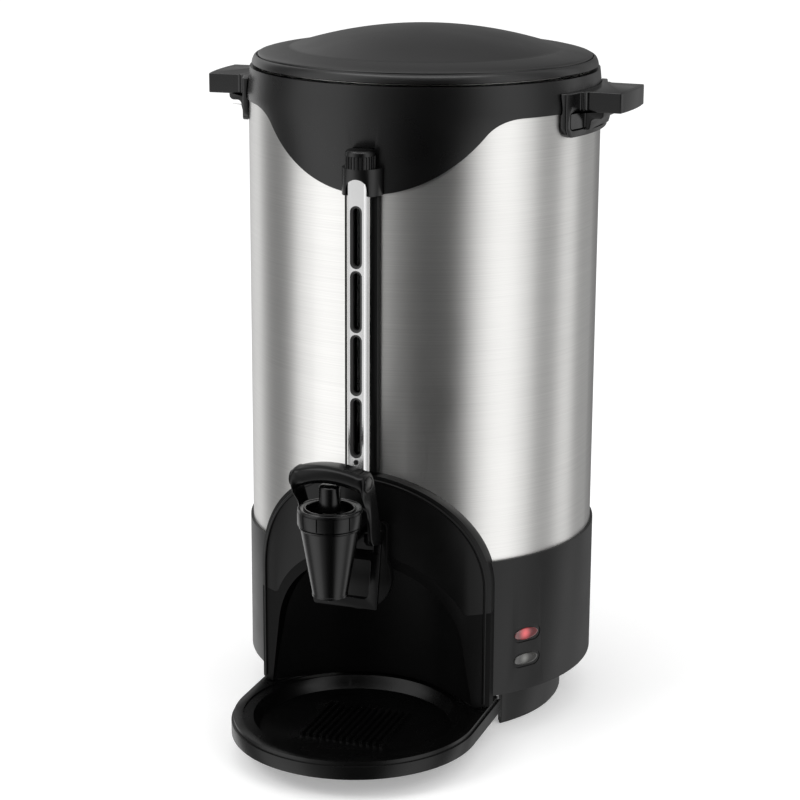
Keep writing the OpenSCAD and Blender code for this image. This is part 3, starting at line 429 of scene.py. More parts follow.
class Effects:
    """Shader node groups that several finishes share."""

    def __init__(self) -> None:
        """Builds every group once."""
        self.grain = self._grain()
        self.brush = self._brush()
        self.smudge = self._smudge()
        self.spot = self._spot()

    @staticmethod
    def _group(
        name: str, inputs: dict[str, object], *outputs: str
    ) -> tuple[Nodes, Sockets, Sockets, bpy.types.NodeSocket]:
        """Starts a shader group whose patterns lie on Object coordinates.

        Args:
            name: its name.
            inputs: each input's name and default value, a number or a vector.
            outputs: the outputs' names.

        Returns:
            The group's tools, its input and output nodes and the coordinates.
        """
        tree = bpy.data.node_groups.new(name, "ShaderNodeTree")
        for key, value in inputs.items():
            kind = "NodeSocketVector" if isinstance(value, tuple) else "NodeSocketFloat"
            tree.interface.new_socket(key, in_out="INPUT", socket_type=kind).default_value = value
        for key in outputs:
            tree.interface.new_socket(key, in_out="OUTPUT", socket_type="NodeSocketFloat")
        n = Nodes(tree)
        place = n.add("ShaderNodeTexCoord").outputs["Object"]
        return n, n.add("NodeGroupInput").outputs, n.add("NodeGroupOutput").inputs, place

    @staticmethod
    def _noise(
        n: Nodes, place: bpy.types.NodeSocket, scale: object, detail: float, rough: float = 0.5
    ) -> bpy.types.NodeSocket:
        """A noise texture.

        Args:
            n: the group's tools.
            place: the coordinates.
            scale: its scale, a number or a socket.
            detail: its detail.
            rough: its roughness.

        Returns:
            The noise's value.
        """
        noise = n.add("ShaderNodeTexNoise")
        noise.inputs["Detail"].default_value = detail
        noise.inputs["Roughness"].default_value = rough
        n.join(place, noise.inputs["Vector"])
        n.feed(scale, noise.inputs["Scale"])
        return noise.outputs["Fac"]

    def _grain(self) -> bpy.types.NodeTree:
        """Fine moulded grain: a height and a tone.

        Returns:
            The group.
        """
        n, given, result, place = self._group("moulded_grain", {"Size": 0.5}, "Height", "Tone")
        scale = n.maths("DIVIDE", PER_METRE, given["Size"])
        n.join(self._noise(n, place, scale, 2.0, 0.6), result["Height"])
        n.join(self._noise(n, place, n.maths("MULTIPLY", scale, 0.02), 3.0), result["Tone"])
        return n.tree

    def _brush(self) -> bpy.types.NodeTree:
        """Fine brushing that runs round the vertical axis: a height and a tone.

        Returns:
            The group.
        """
        sizes = {"Length": 60.0, "Pitch": 0.25}
        n, given, result, place = self._group("ring_brushing", sizes, "Height", "Tone")
        parts = n.add("ShaderNodeSeparateXYZ")
        n.join(place, parts.inputs[0])
        along = n.maths("DIVIDE", PER_METRE, given["Length"])
        across = n.maths("DIVIDE", PER_METRE, given["Pitch"])
        lines = []
        for share, shift in ((1.0, 0.0), (0.45, 3.7), (0.16, 9.1)):
            vector = n.add("ShaderNodeCombineXYZ")
            rows = n.maths("MULTIPLY_ADD", parts.outputs[2], n.maths("MULTIPLY", across, share), shift)
            n.join(n.maths("MULTIPLY", parts.outputs[0], along), vector.inputs[0])
            n.join(n.maths("MULTIPLY", parts.outputs[1], along), vector.inputs[1])
            n.join(rows, vector.inputs[2])
            lines.append(self._noise(n, vector.outputs[0], 1.0, 1.0))
        fine, middle, coarse = lines
        both = n.maths("ADD", n.maths("MULTIPLY", fine, 0.5), n.maths("MULTIPLY", middle, 0.4))
        n.join(n.maths("MULTIPLY_ADD", coarse, 0.1, both), result["Height"])
        n.join(n.maths("MULTIPLY", n.maths("ADD", fine, middle), 0.5), result["Tone"])
        return n.tree

    def _smudge(self) -> bpy.types.NodeTree:
        """Broad, faint unevenness of a handled surface.

        Returns:
            The group.
        """
        n, given, result, place = self._group("faint_smudges", {"Size": 40.0}, "Mask")
        scale = n.maths("DIVIDE", PER_METRE, given["Size"])
        n.join(self._noise(n, place, scale, 4.0, 0.55), result["Mask"])
        return n.tree

    def _spot(self) -> bpy.types.NodeTree:
        """A soft round spot about a point: a mask.

        Returns:
            The group.
        """
        n, given, result, place = self._group("soft_spot", {"Reach": 8.0, "Middle": (0.0, 0.0, 0.0)}, "Mask")
        away = n.add("ShaderNodeVectorMath", operation="DISTANCE")
        n.join(place, away.inputs[0])
        n.join(given["Middle"], away.inputs[1])
        share = n.maths("DIVIDE", n.maths("MULTIPLY", away.outputs["Value"], PER_METRE), given["Reach"])
        n.join(n.maths("POWER", n.maths("SUBTRACT", 1.0, share, clamp=True), 1.6), result["Mask"])
        return n.tree


# ---------------------------------------------------------------- finishes


def shade(colour: Colour, factor: float, lift: float = 0.0) -> Colour:
    """A colour made lighter or darker.

    Args:
        colour: the colour.
        factor: what it is multiplied by.
        lift: what is added to it.

    Returns:
        The new colour.
    """
    return tuple(min(1.0, c * factor + lift) for c in colour[:3]) + (1.0,)


@dataclass(frozen=True)
class Plastic:
    """Moulded plastic or rubber with a fine grain."""

    name: str
    colour: Colour
    rough: float
    grain: float = 0.5
    depth: float = 0.02
    specular: float = 0.5

    def build(self, effects: Effects) -> bpy.types.Material:
        """Makes the material.

        Args:
            effects: the shared shader groups.

        Returns:
            The material.
        """
        material, n, shader = blank_material(self.name)
        grain = n.group(effects.grain, Size=self.grain)
        smudge = n.group(effects.smudge)["Mask"]
        dark, light = shade(self.colour, 0.85), shade(self.colour, 1.25, 0.001)
        n.join(n.mix(grain["Tone"], dark, light), shader.inputs["Base Color"])
        n.join(n.spread(smudge, self.rough - 0.03, self.rough + 0.04), shader.inputs["Roughness"])
        shader.inputs["Specular IOR Level"].default_value = self.specular
        add_bump(n, shader, grain["Height"], self.depth)
        return material


@dataclass(frozen=True)
class Steel:
    """Satin steel with brushing round the vertical axis."""

    name: str
    colour: Colour
    rough: float
    stretch: float
    length: float = 60.0
    pitch: float = 0.25
    depth: float = 0.02

    def build(self, effects: Effects) -> bpy.types.Material:
        """Makes the material.

        Args:
            effects: the shared shader groups.

        Returns:
            The material.
        """
        material, n, shader = blank_material(self.name)
        brush = n.group(effects.brush, Length=self.length, Pitch=self.pitch)
        smudge = n.group(effects.smudge, Size=70.0)["Mask"]
        dark, light = shade(self.colour, 0.92), shade(self.colour, 1.05)
        n.join(n.mix(n.spread(brush["Tone"], 0.0, 1.0), dark, light), shader.inputs["Base Color"])
        shader.inputs["Metallic"].default_value = 1.0
        n.join(n.spread(smudge, self.rough - 0.02, self.rough + 0.03), shader.inputs["Roughness"])
        shader.inputs["Anisotropic"].default_value = self.stretch
        shader.inputs["Anisotropic Rotation"].default_value = 0.25
        tangent = n.add("ShaderNodeTangent", direction_type="RADIAL", axis="Z")
        n.join(tangent.outputs[0], shader.inputs["Tangent"])
        add_bump(n, shader, brush["Height"], self.depth)
        return material


@dataclass(frozen=True)
class Metal:
    """Plain, plated or cast metal without a grain direction."""

    name: str
    colour: Colour
    rough: float
    grain: float = 0.6
    depth: float = 0.01

    def build(self, effects: Effects) -> bpy.types.Material:
        """Makes the material.

        Args:
            effects: the shared shader groups.

        Returns:
            The material.
        """
        material, n, shader = blank_material(self.name)
        grain = n.group(effects.grain, Size=self.grain)
        smudge = n.group(effects.smudge, Size=25.0)["Mask"]
        n.join(n.mix(smudge, shade(self.colour, 0.9), self.colour), shader.inputs["Base Color"])
        shader.inputs["Metallic"].default_value = 1.0
        n.join(n.spread(smudge, self.rough * 0.8, self.rough * 1.3), shader.inputs["Roughness"])
        add_bump(n, shader, grain["Height"], self.depth)
        return material


@dataclass(frozen=True)
class Clear:
    """Clear glass."""

    name: str
    colour: Colour
    rough: float
    ior: float

    def build(self, effects: Effects) -> bpy.types.Material:
        """Makes the material.

        Args:
            effects: the shared shader groups.

        Returns:
            The material.
        """
        material, n, shader = blank_material(self.name)
        smudge = n.group(effects.smudge, Size=12.0)["Mask"]
        n.join(n.mix(smudge, shade(self.colour, 0.94), self.colour), shader.inputs["Base Color"])
        n.join(n.spread(smudge, self.rough, self.rough + 0.03), shader.inputs["Roughness"])
        shader.inputs["Transmission Weight"].default_value = 1.0
        shader.inputs["IOR"].default_value = self.ior
        return material


@dataclass(frozen=True)
class Lens:
    """A dark tinted lens with the light of its lamp in the middle."""

    name: str
    colour: Colour
    light: Colour
    glow: float
    middle: Point3
    reach: float

    def build(self, effects: Effects) -> bpy.types.Material:
        """Makes the material.

        Args:
            effects: the shared shader groups.

        Returns:
            The material.
        """
        material, n, shader = blank_material(self.name)
        middle = [v * MM for v in self.middle]
        spot = n.group(effects.spot, Reach=self.reach, Middle=middle)["Mask"]
        smudge = n.group(effects.smudge, Size=6.0)["Mask"]
        n.join(n.mix(spot, self.colour, self.light), shader.inputs["Base Color"])
        n.join(n.spread(smudge, 0.06, 0.10), shader.inputs["Roughness"])
        n.join(n.mix(spot, (0, 0, 0, 1), self.light), shader.inputs["Emission Color"])
        shader.inputs["Emission Strength"].default_value = self.glow
        shader.inputs["Coat Weight"].default_value = 1.0
        return material


def blank_material(name: str) -> tuple[bpy.types.Material, Nodes, bpy.types.Node]:
    """A new material with its Principled shader.

    Args:
        name: name of the material.

    Returns:
        The material, its node tools and the shader.
    """
    material = bpy.data.materials.new(name)
    material.use_nodes = True
    return material, Nodes(material.node_tree), material.node_tree.nodes["Principled BSDF"]


def add_bump(n: Nodes, shader: bpy.types.Node, height: bpy.types.NodeSocket, depth: float) -> None:
    """Feeds a height into the shader's normal.

    Args:
        n: the material's node tools.
        shader: its shader.
        height: the height.
        depth: the height's depth in millimetres.
    """
    bump = n.add("ShaderNodeBump")
    bump.inputs["Strength"].default_value = 1.0
    bump.inputs["Distance"].default_value = depth * MM
    n.join(height, bump.inputs["Height"])
    n.join(bump.outputs[0], shader.inputs["Normal"])


class Finish(Enum):
    """The urn's finishes."""

    STEEL = Steel("satin_steel", (0.71, 0.705, 0.69, 1), 0.33, 0.84, length=80.0, depth=0.004)
    TANK = Steel("drawn_steel", (0.66, 0.655, 0.64, 1), 0.30, 0.6, length=90, pitch=0.6)
    BLACK = Plastic("black_satin", (0.0008, 0.0008, 0.0009, 1), 0.28, depth=0.004, specular=0.42)
    SATIN = Plastic("black_lid", (0.0016, 0.0016, 0.0017, 1), 0.30, depth=0.012)
    MATTE = Plastic("black_matte", (0.0008, 0.0008, 0.0008, 1), 0.36, grain=0.4, depth=0.015, specular=0.22)
    LEVER = Plastic("black_lever", (0.0006, 0.0006, 0.0007, 1), 0.20, grain=0.8, depth=0.003, specular=0.20)
    LINER = Plastic("black_liner", (0.0006, 0.0006, 0.0006, 1), 0.50, grain=0.4, depth=0.02, specular=0.10)
    BASE = Plastic("black_base", (0.0012, 0.0012, 0.0012, 1), 0.34, grain=0.4, depth=0.015, specular=0.34)
    TRAY = Plastic("black_tray", (0.0010, 0.0010, 0.0010, 1), 0.26, grain=0.4, depth=0.012, specular=0.30)
    GRIP = Plastic("black_grip", (0.0008, 0.0008, 0.0009, 1), 0.20, grain=0.8, depth=0.003)
    TAP = Plastic("black_tap", (0.0006, 0.0006, 0.0007, 1), 0.20, grain=0.8, depth=0.003, specular=0.36)
    CHROME = Metal("polished_chrome", (0.90, 0.90, 0.90, 1), 0.18, depth=0.0)
    DARK = Metal("blackened_steel", (0.04, 0.04, 0.04, 1), 0.35)
    PLATED = Metal("plated_steel", (0.60, 0.60, 0.59, 1), 0.28)
    BRASS = Metal("turned_brass", (0.72, 0.56, 0.30, 1), 0.25)
    ALLOY = Metal("cast_alloy", (0.55, 0.55, 0.56, 1), 0.45, depth=0.04)
    GLASS = Clear("gauge_glass", (0.45, 0.48, 0.47, 1), 0.02, ior=1.22)
    RED = Lens(
        "red_lens", (0.10, 0.004, 0.006, 1), light=(0.80, 0.10, 0.11, 1), glow=0.8,
        middle=(101.5, -72.5, 75.8), reach=6.5,
    )
    AMBER = Lens(
        "amber_lens", (0.012, 0.011, 0.009, 1), light=(0.30, 0.30, 0.28, 1), glow=0.22,
        middle=(101.5, -72.5, 56.8), reach=5.0,
    )
    GASKET = Plastic("grey_gasket", (0.018, 0.018, 0.018, 1), 0.55, grain=0.3, depth=0.01)
    RUBBER = Plastic("black_rubber", (0.012, 0.012, 0.012, 1), 0.75, grain=0.3, depth=0.05)
    SILICONE = Plastic("pale_silicone", (0.66, 0.66, 0.62, 1), 0.5)
    WHITE = Plastic("white_moulding", (0.72, 0.71, 0.66, 1), 0.45)
    WIRE = Plastic("red_insulation", (0.38, 0.03, 0.02, 1), 0.5)


@dataclass
class Wardrobe:
    """Makes each finish's material once and hands it out."""

    effects: Effects
    made: dict[Finish, bpy.types.Material] = field(default_factory=dict)

    def get(self, finish: Finish) -> bpy.types.Material:
        """The material of a finish.

        Args:
            finish: the finish.

        Returns:
            Its material.
        """
        if finish not in self.made:
            self.made[finish] = finish.value.build(self.effects)
        return self.made[finish]

    def dress(self, obj: bpy.types.Object, finish: Finish) -> bpy.types.Object:
        """Gives an object one material.

        Args:
            obj: the object.
            finish: its finish.

        Returns:
            The same object.
        """
        obj.data.materials.clear()
        obj.data.materials.append(self.get(finish))
        return obj


# ---------------------------------------------------------------- studio


# Azimuth in degrees, and the level of light that glossy rays see there.
BANDS = (
    (-180, 0.22), (-172, 0.38), (-158, 1.20), (-142, 1.50), (-124, 1.40), (-108, 0.62), (-97, 0.38),
    (-87, 0.16), (-77, 0.06), (-64, 0.03), (-52, 0.03), (-47, 0.12), (-42, 0.42), (-34, 0.96),
    (-25, 1.35), (-13, 1.45), (0, 1.10), (12, 0.44), (24, 0.40), (33, 0.95), (42, 1.05), (52, 0.40),
    (72, 0.42), (82, 0.22), (112, 0.24), (126, 0.66), (134, 0.76), (150, 0.92), (159, 0.50), (167, 0.26),
)


@dataclass
class Studio:
    """Camera, floor, world and lamps."""

    location: Point3 = (0.5244, -1.5520, 0.6630)
    forward: Point3 = (-0.3182, 0.9112, -0.2618)
    roll: float = 0.29
    lens: float = 103.70
    floor_half: float = 6.0
    floor_z: float = -0.0004
    floor_grey: float = 0.86
    floor_lift: float = 0.28
    plain_level: float = 0.92
    top_level: float = 0.8
    strip_level: float = 3.2
    lamp_size: float = 1.2
    aim: Point3 = (0.0, 0.0, 0.25)

    @staticmethod
    def ramp(n: Nodes, value: bpy.types.NodeSocket, start: float, end: float) -> bpy.types.NodeSocket:
        """A smooth step from 0 at start to 1 at end.

        Args:
            n: the tree's tools.
            value: the value.
            start: where the step starts.
            end: where it ends.

        Returns:
            The step's value.
        """
        node = n.tree.nodes.new("ShaderNodeMapRange")
        node.interpolation_type = "SMOOTHSTEP"
        node.inputs["From Min"].default_value = start
        node.inputs["From Max"].default_value = end
        n.join(value, node.inputs["Value"])
        return node.outputs[0]

    def camera(self) -> None:
        """Sets up the camera."""
        data = bpy.data.cameras.new("camera")
        data.sensor_width = 36
        data.sensor_fit = "HORIZONTAL"
        data.lens = self.lens
        data.clip_start, data.clip_end = 0.05, 60
        cam = link_object("camera", data)
        forward = Vector(self.forward).normalized()
        right = forward.cross(Vector((0, 0, 1))).normalized()
        up = right.cross(forward)
        r = math.radians(self.roll)
        x = right * math.cos(r) + up * math.sin(r)
        y = up * math.cos(r) - right * math.sin(r)
        matrix = Matrix((x, y, -forward)).transposed().to_4x4()
        matrix.translation = Vector(self.location)
        cam.matrix_world = matrix
        bpy.context.scene.camera = cam

    def floor(self) -> None:
        """Lays a pale floor that keeps the object's shadow."""
        half = self.floor_half
        mesh = bpy.data.meshes.new("floor")
        mesh.from_pydata(
            [(-half, -half, 0), (half, -half, 0), (half, half, 0), (-half, half, 0)], [], [(0, 1, 2, 3)]
        )
        obj = link_object("floor", mesh)
        obj.location.z = self.floor_z
        material, n, shader = blank_material("pale_floor")
        shader.inputs["Base Color"].default_value = (*[self.floor_grey] * 3, 1)
        shader.inputs["Roughness"].default_value = 0.9
        shader.inputs["Specular IOR Level"].default_value = 0.0
        shader.inputs["Emission Color"].default_value = (1, 1, 1, 1)
        seen = n.add("ShaderNodeLightPath").outputs["Is Camera Ray"]
        n.join(n.maths("MULTIPLY", seen, self.floor_lift), shader.inputs["Emission Strength"])
        mesh.materials.append(material)
        obj.visible_glossy = False

    def bands(self, n: Nodes, parts: Sockets) -> bpy.types.NodeSocket:
        """Softboxes and dark gaps round the vertical axis.

        Args:
            n: the world's node tools.
            parts: X, Y and Z of the direction.

        Returns:
            The level of light in the direction.
        """
        turn = n.maths("ARCTAN2", parts[1], parts[0])
        ramp = n.add("ShaderNodeValToRGB")
        ramp.color_ramp.interpolation = "EASE"
        elements = ramp.color_ramp.elements
        while len(elements) > 1:
            elements.remove(elements[0])
        for i, (azimuth, level) in enumerate(BANDS):
            at = azimuth / 360 + 0.5
            element = elements[0] if i == 0 else elements.new(at)
            element.position = at
            element.color = (level / 2, level / 2, level / 2, 1)
        n.join(n.maths("MULTIPLY_ADD", turn, 1 / (2 * math.pi), 0.5), ramp.inputs[0])
        return n.maths("MULTIPLY", ramp.outputs[0], 2.0)

    def gloss(self, n: Nodes) -> bpy.types.NodeSocket:
        """What glossy rays see: the bands, a plain top and a bright strip above the front.

        Args:
            n: the world's node tools.

        Returns:
            The level of light in the ray's direction.
        """
        split = n.add("ShaderNodeSeparateXYZ")
        n.join(n.add("ShaderNodeTexCoord").outputs["Generated"], split.inputs[0])
        parts = split.outputs
        lift = self.ramp(n, parts[2], 0.55, 0.9)
        bands = n.maths("MULTIPLY", self.bands(n, parts), n.maths("SUBTRACT", 1.0, lift))
        level = n.maths("MULTIPLY_ADD", lift, self.top_level, bands)
        near = n.maths("MULTIPLY", self.ramp(n, parts[1], 0.05, -0.25), self.strip_level)
        low, high = self.ramp(n, parts[2], 0.72, 0.80), self.ramp(n, parts[2], 0.95, 0.90)
        return n.maths("MULTIPLY_ADD", near, n.maths("MULTIPLY", low, high), level)

    def world(self) -> None:
        """White to the camera, plain for diffuse light, and softboxes and dark gaps for gloss."""
        world = bpy.data.worlds.new("studio")
        bpy.context.scene.world = world
        world.use_nodes = True
        world.node_tree.nodes.clear()
        n = Nodes(world.node_tree)
        path = n.add("ShaderNodeLightPath").outputs
        seen, glossy = path["Is Camera Ray"], path["Is Glossy Ray"]
        plain = n.maths("MULTIPLY", n.maths("SUBTRACT", 1.0, glossy), self.plain_level)
        other = n.maths("ADD", n.maths("MULTIPLY", glossy, self.gloss(n)), plain)
        strength = n.maths("ADD", seen, n.maths("MULTIPLY", n.maths("SUBTRACT", 1.0, seen), other))
        background = n.add("ShaderNodeBackground")
        background.inputs["Color"].default_value = (1, 1, 1, 1)
        n.join(strength, background.inputs["Strength"])
        n.join(background.outputs[0], n.add("ShaderNodeOutputWorld").inputs["Surface"])

    def lamps(self) -> None:
        """A soft key light from the upper left that gives the shadow its side, and a weaker fill."""
        for name, where, power in (("key", (-1.3, -1.5, 2.0), 16.0), ("fill", (1.6, -1.0, 1.6), 6.0)):
            data = bpy.data.lights.new(name, "AREA")
            data.shape = "DISK"
            data.size = self.lamp_size
            data.energy = power
            lamp = link_object(name, data)
            lamp.location = where
            aim = Vector(self.aim) - Vector(where)
            lamp.rotation_euler = aim.to_track_quat("-Z", "Y").to_euler()
            lamp.visible_camera = False
            lamp.visible_glossy = False

    def build(self) -> None:
        """Sets up the whole studio."""
        scene = bpy.context.scene
        scene.view_settings.view_transform = "Standard"
        self.camera()
        self.floor()
        self.world()
        self.lamps()


# ---------------------------------------------------------------- repeats and paths


class Repeats:
    """Geometry node trees for what repeats or follows a path."""

    def __init__(self) -> None:
        """Builds every tree once."""
        self.ring = self._ring()
        self.places = self._places()
        self.bead = self._bead()

    @staticmethod
    def _tree(name: str, **inputs: str) -> tuple[Nodes, bpy.types.Node]:
        """Starts a geometry tree.

        Args:
            name: its name.
            inputs: each input's socket type.

        Returns:
            The tree's tools and its input node.
        """
        tree = bpy.data.node_groups.new(name, "GeometryNodeTree")
        tree.interface.new_socket("Geometry", in_out="INPUT", socket_type="NodeSocketGeometry")
        for key, kind in inputs.items():
            tree.interface.new_socket(key, in_out="INPUT", socket_type=f"NodeSocket{kind}")
        tree.interface.new_socket("Material", in_out="INPUT", socket_type="NodeSocketMaterial")
        tree.interface.new_socket("Geometry", in_out="OUTPUT", socket_type="NodeSocketGeometry")
        n = Nodes(tree)
        return n, n.add("NodeGroupInput")

    @staticmethod
    def _end(n: Nodes, inside: bpy.types.Node, result: bpy.types.NodeSocket) -> bpy.types.NodeTree:
        """Ends a tree with Realize Instances and Set Material.

        Args:
            n: the tree's tools.
            inside: its input node.
            result: the geometry.

        Returns:
            The tree.
        """
        solid = n.add("GeometryNodeRealizeInstances")
        paint = n.add("GeometryNodeSetMaterial")
        outside = n.add("NodeGroupOutput")
        n.join(result, solid.inputs["Geometry"])
        n.join(solid.outputs[0], paint.inputs["Geometry"])
        n.join(inside.outputs["Material"], paint.inputs["Material"])
        n.join(paint.outputs[0], outside.inputs["Geometry"])
        return n.tree

    @staticmethod
    def _instances(
        n: Nodes, inside: bpy.types.Node, points: bpy.types.NodeSocket, turn: bpy.types.NodeSocket
    ) -> bpy.types.NodeSocket:
        """Puts the piece on points, each with its own turn.

        Args:
            n: the tree's tools.
            inside: its input node, with the piece.
            points: the points.
            turn: the rotation at each point.

        Returns:
            The instances.
        """
        piece = n.add("GeometryNodeObjectInfo")
        place = n.add("GeometryNodeInstanceOnPoints")
        n.join(inside.outputs["Piece"], piece.inputs["Object"])
        n.join(points, place.inputs["Points"])
        n.join(piece.outputs["Geometry"], place.inputs["Instance"])
        n.join(turn, place.inputs["Rotation"])
        return place.outputs[0]

    def _ring(self) -> bpy.types.NodeTree:
        """Copies of a piece round a circle, each turned to face outwards.

        Returns:
            The tree.
        """
        n, inside = self._tree("pieces_in_a_ring", Piece="Object", Count="Int", Radius="Float", Centre="Vector")
        circle = n.add("GeometryNodeMeshCircle")
        n.join(inside.outputs["Count"], circle.inputs["Vertices"])
        n.join(inside.outputs["Radius"], circle.inputs["Radius"])
        index = n.add("GeometryNodeInputIndex")
        step = n.maths("DIVIDE", 2 * math.pi, inside.outputs["Count"])
        turn = n.add("ShaderNodeCombineXYZ")
        n.join(n.maths("MULTIPLY", index.outputs[0], step), turn.inputs["Z"])
        copies = self._instances(n, inside, circle.outputs["Mesh"], turn.outputs[0])
        move = n.add("GeometryNodeTransform")
        n.join(copies, move.inputs["Geometry"])
        n.join(inside.outputs["Centre"], move.inputs["Translation"])
        return self._end(n, inside, move.outputs[0])

    def _places(self) -> bpy.types.NodeTree:
        """Copies of a piece on the object's own points, each pointed along the attribute aim.

        Returns:
            The tree.
        """
        n, inside = self._tree("pieces_at_places", Piece="Object")
        aim = n.add("GeometryNodeInputNamedAttribute", data_type="FLOAT_VECTOR")
        aim.inputs["Name"].default_value = "aim"
        turn = n.add("FunctionNodeAlignRotationToVector", axis="Z")
        n.join(aim.outputs[0], turn.inputs["Vector"])
        return self._end(n, inside, self._instances(n, inside, inside.outputs["Geometry"], turn.outputs[0]))

    def _bead(self) -> bpy.types.NodeTree:
        """A round bead along the object's own edges.

        Returns:
            The tree.
        """
        n, inside = self._tree("bead_along_a_path", Radius="Float", Sides="Int")
        curve = n.add("GeometryNodeMeshToCurve")
        round_ = n.add("GeometryNodeCurvePrimitiveCircle")
        sweep = n.add("GeometryNodeCurveToMesh")
        sweep.inputs["Fill Caps"].default_value = True
        n.join(inside.outputs["Geometry"], curve.inputs[0])
        n.join(inside.outputs["Radius"], round_.inputs["Radius"])
        n.join(inside.outputs["Sides"], round_.inputs["Resolution"])
        n.join(curve.outputs[0], sweep.inputs["Curve"])
        n.join(round_.outputs[0], sweep.inputs["Profile Curve"])
        return self._end(n, inside, sweep.outputs[0])

    @staticmethod
    def run(tree: bpy.types.NodeTree, obj: bpy.types.Object, **values: object) -> bpy.types.Object:
        """Runs a tree on an object and leaves its result as a plain mesh.

        Args:
            tree: the tree.
            obj: the object that carries it.
            values: the tree's inputs by name.

        Returns:
            The object.
        """
        modifier = obj.modifiers.new(tree.name, "NODES")
        modifier.node_group = tree
        sockets = {
            item.name: item.identifier
            for item in tree.interface.items_tree
            if item.item_type == "SOCKET" and item.in_out == "INPUT"
        }
        for key, value in values.items():
            modifier[sockets[key]] = value
        return tidy_mesh(apply_all(obj))

    def ring_of(self, piece: bpy.types.Object, count: int, radius: float, centre: Point3) -> bpy.types.Object:
        """Copies of a piece in a ring; the piece itself is used up.

        Args:
            piece: the piece, facing +X.
            count: how many.
            radius: radius of the ring in millimetres.
            centre: its centre in millimetres.

        Returns:
            The ring.
        """
        obj = self.run(
            self.ring, link_mesh("ring", [], []), Piece=piece, Count=count, Radius=radius * MM,
            Centre=[v * MM for v in centre],
        )
        bpy.data.objects.remove(piece)
        return obj

    def at_places(
        self, piece: bpy.types.Object, places: Sequence[Point3], aims: Sequence[Point3]
    ) -> bpy.types.Object:
        """Copies of a piece at places, each with its +Z along its aim; the piece itself is used up.

        Args:
            piece: the piece.
            places: the places in millimetres.
            aims: a direction for each place.

        Returns:
            The copies as one object.
        """
        obj = link_mesh("places", places, [])
        aim = obj.data.attributes.new("aim", "FLOAT_VECTOR", "POINT")
        for i, direction in enumerate(aims):
            aim.data[i].vector = direction
        self.run(self.places, obj, Piece=piece)
        bpy.data.objects.remove(piece)
        return obj

    def bead_on(self, path: Sequence[Point3], radius: float, loop: bool = False) -> bpy.types.Object:
        """A round bead along a path.

        Args:
            path: the path's points in millimetres.
            radius: the bead's radius in millimetres.
            loop: whether the path closes on itself.

        Returns:
            The bead.
        """
        mesh = bpy.data.meshes.new("path")
        edges = [(i, i + 1) for i in range(len(path) - 1)]
        if loop:
            edges.append((len(path) - 1, 0))
        mesh.from_pydata([tuple(v * MM for v in p) for p in path], edges, [])
        return self.run(self.bead, link_object("path", mesh), Radius=radius * MM, Sides=12)


# ---------------------------------------------------------------- sub-assemblies


@dataclass
class Assembly:
    """A sub-assembly of the urn: it makes its pieces, dresses them and hands them to the frame."""

    wardrobe: Wardrobe
    repeats: Repeats
    frame: dict

    def node(self, name: str) -> bpy.types.Object:
        """The object of a CAD node."""
        return self.frame["nodes"][name]

    def keep(self, finish: Finish, *nodes: str) -> None:
        """Leaves CAD nodes as they are and gives them a finish.

        Args:
            finish: the finish.
            nodes: the nodes.
        """
        for node in nodes:
            self.wardrobe.dress(self.node(node), finish)
            LOG.info("%s: CAD shape, %s", node, finish.value.name)

    def hand_in(self, obj: bpy.types.Object, finish: Finish, *nodes: str) -> bpy.types.Object:
        """Gives a new piece its finish, and puts it in the place of CAD nodes.

        Args:
            obj: the new piece.
            finish: its finish.
            nodes: the nodes it stands for; it rides with the first one.

        Returns:
            The piece.
        """
        self.wardrobe.dress(obj, finish)
        obj.name = f"{nodes[0]}_piece"
        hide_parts(*nodes)
        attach(obj, self.frame["nodes"][nodes[0]]["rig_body"])
        LOG.info("%s: %d faces, %s", obj.name, len(obj.data.polygons), finish.value.name)
        return obj

    def soften(self, finish: Finish, width: float, *nodes: str) -> None:
        """Puts copies with rounded edges in the place of CAD nodes."""
        for node in nodes:
            self.hand_in(softened_copy(self.node(node), width), finish, node)

    def solids(self, node: str) -> list[tuple[Vector, Vector]]:
        """Lowest and highest corner, in millimetres, of each solid of a CAD node.

        Args:
            node: the node.

        Returns:
            The corners of each solid, in order of X.
        """
        bm = bmesh.new()
        bm.from_mesh(self.node(node).data)
        bmesh.ops.remove_doubles(bm, verts=bm.verts, dist=0.002 * MM)
        left = set(bm.verts)
        boxes = []
        while left:
            found, front = [], [left.pop()]
            while front:
                vert = front.pop()
                found.append(vert.co / MM)
                for edge in vert.link_edges:
                    other = edge.other_vert(vert)
                    if other in left:
                        left.remove(other)
                        front.append(other)
            low = Vector([min(p[i] for p in found) for i in range(3)])
            high = Vector([max(p[i] for p in found) for i in range(3)])
            boxes.append((low, high))
        bm.free()
        return sorted(boxes, key=lambda box: tuple(box[0]))


@dataclass
class Body(Assembly):
    """Steel jacket, black collar and water tank."""

    collar_edge: float = 0.45
    tank_edge: float = 0.4

    def build(self) -> None:
        """Makes the body."""
        self.keep(Finish.STEEL, "outer_shell")
        self.soften(Finish.BLACK, self.collar_edge, "collar")
        self.soften(Finish.TANK, self.tank_edge, "inner_tank")


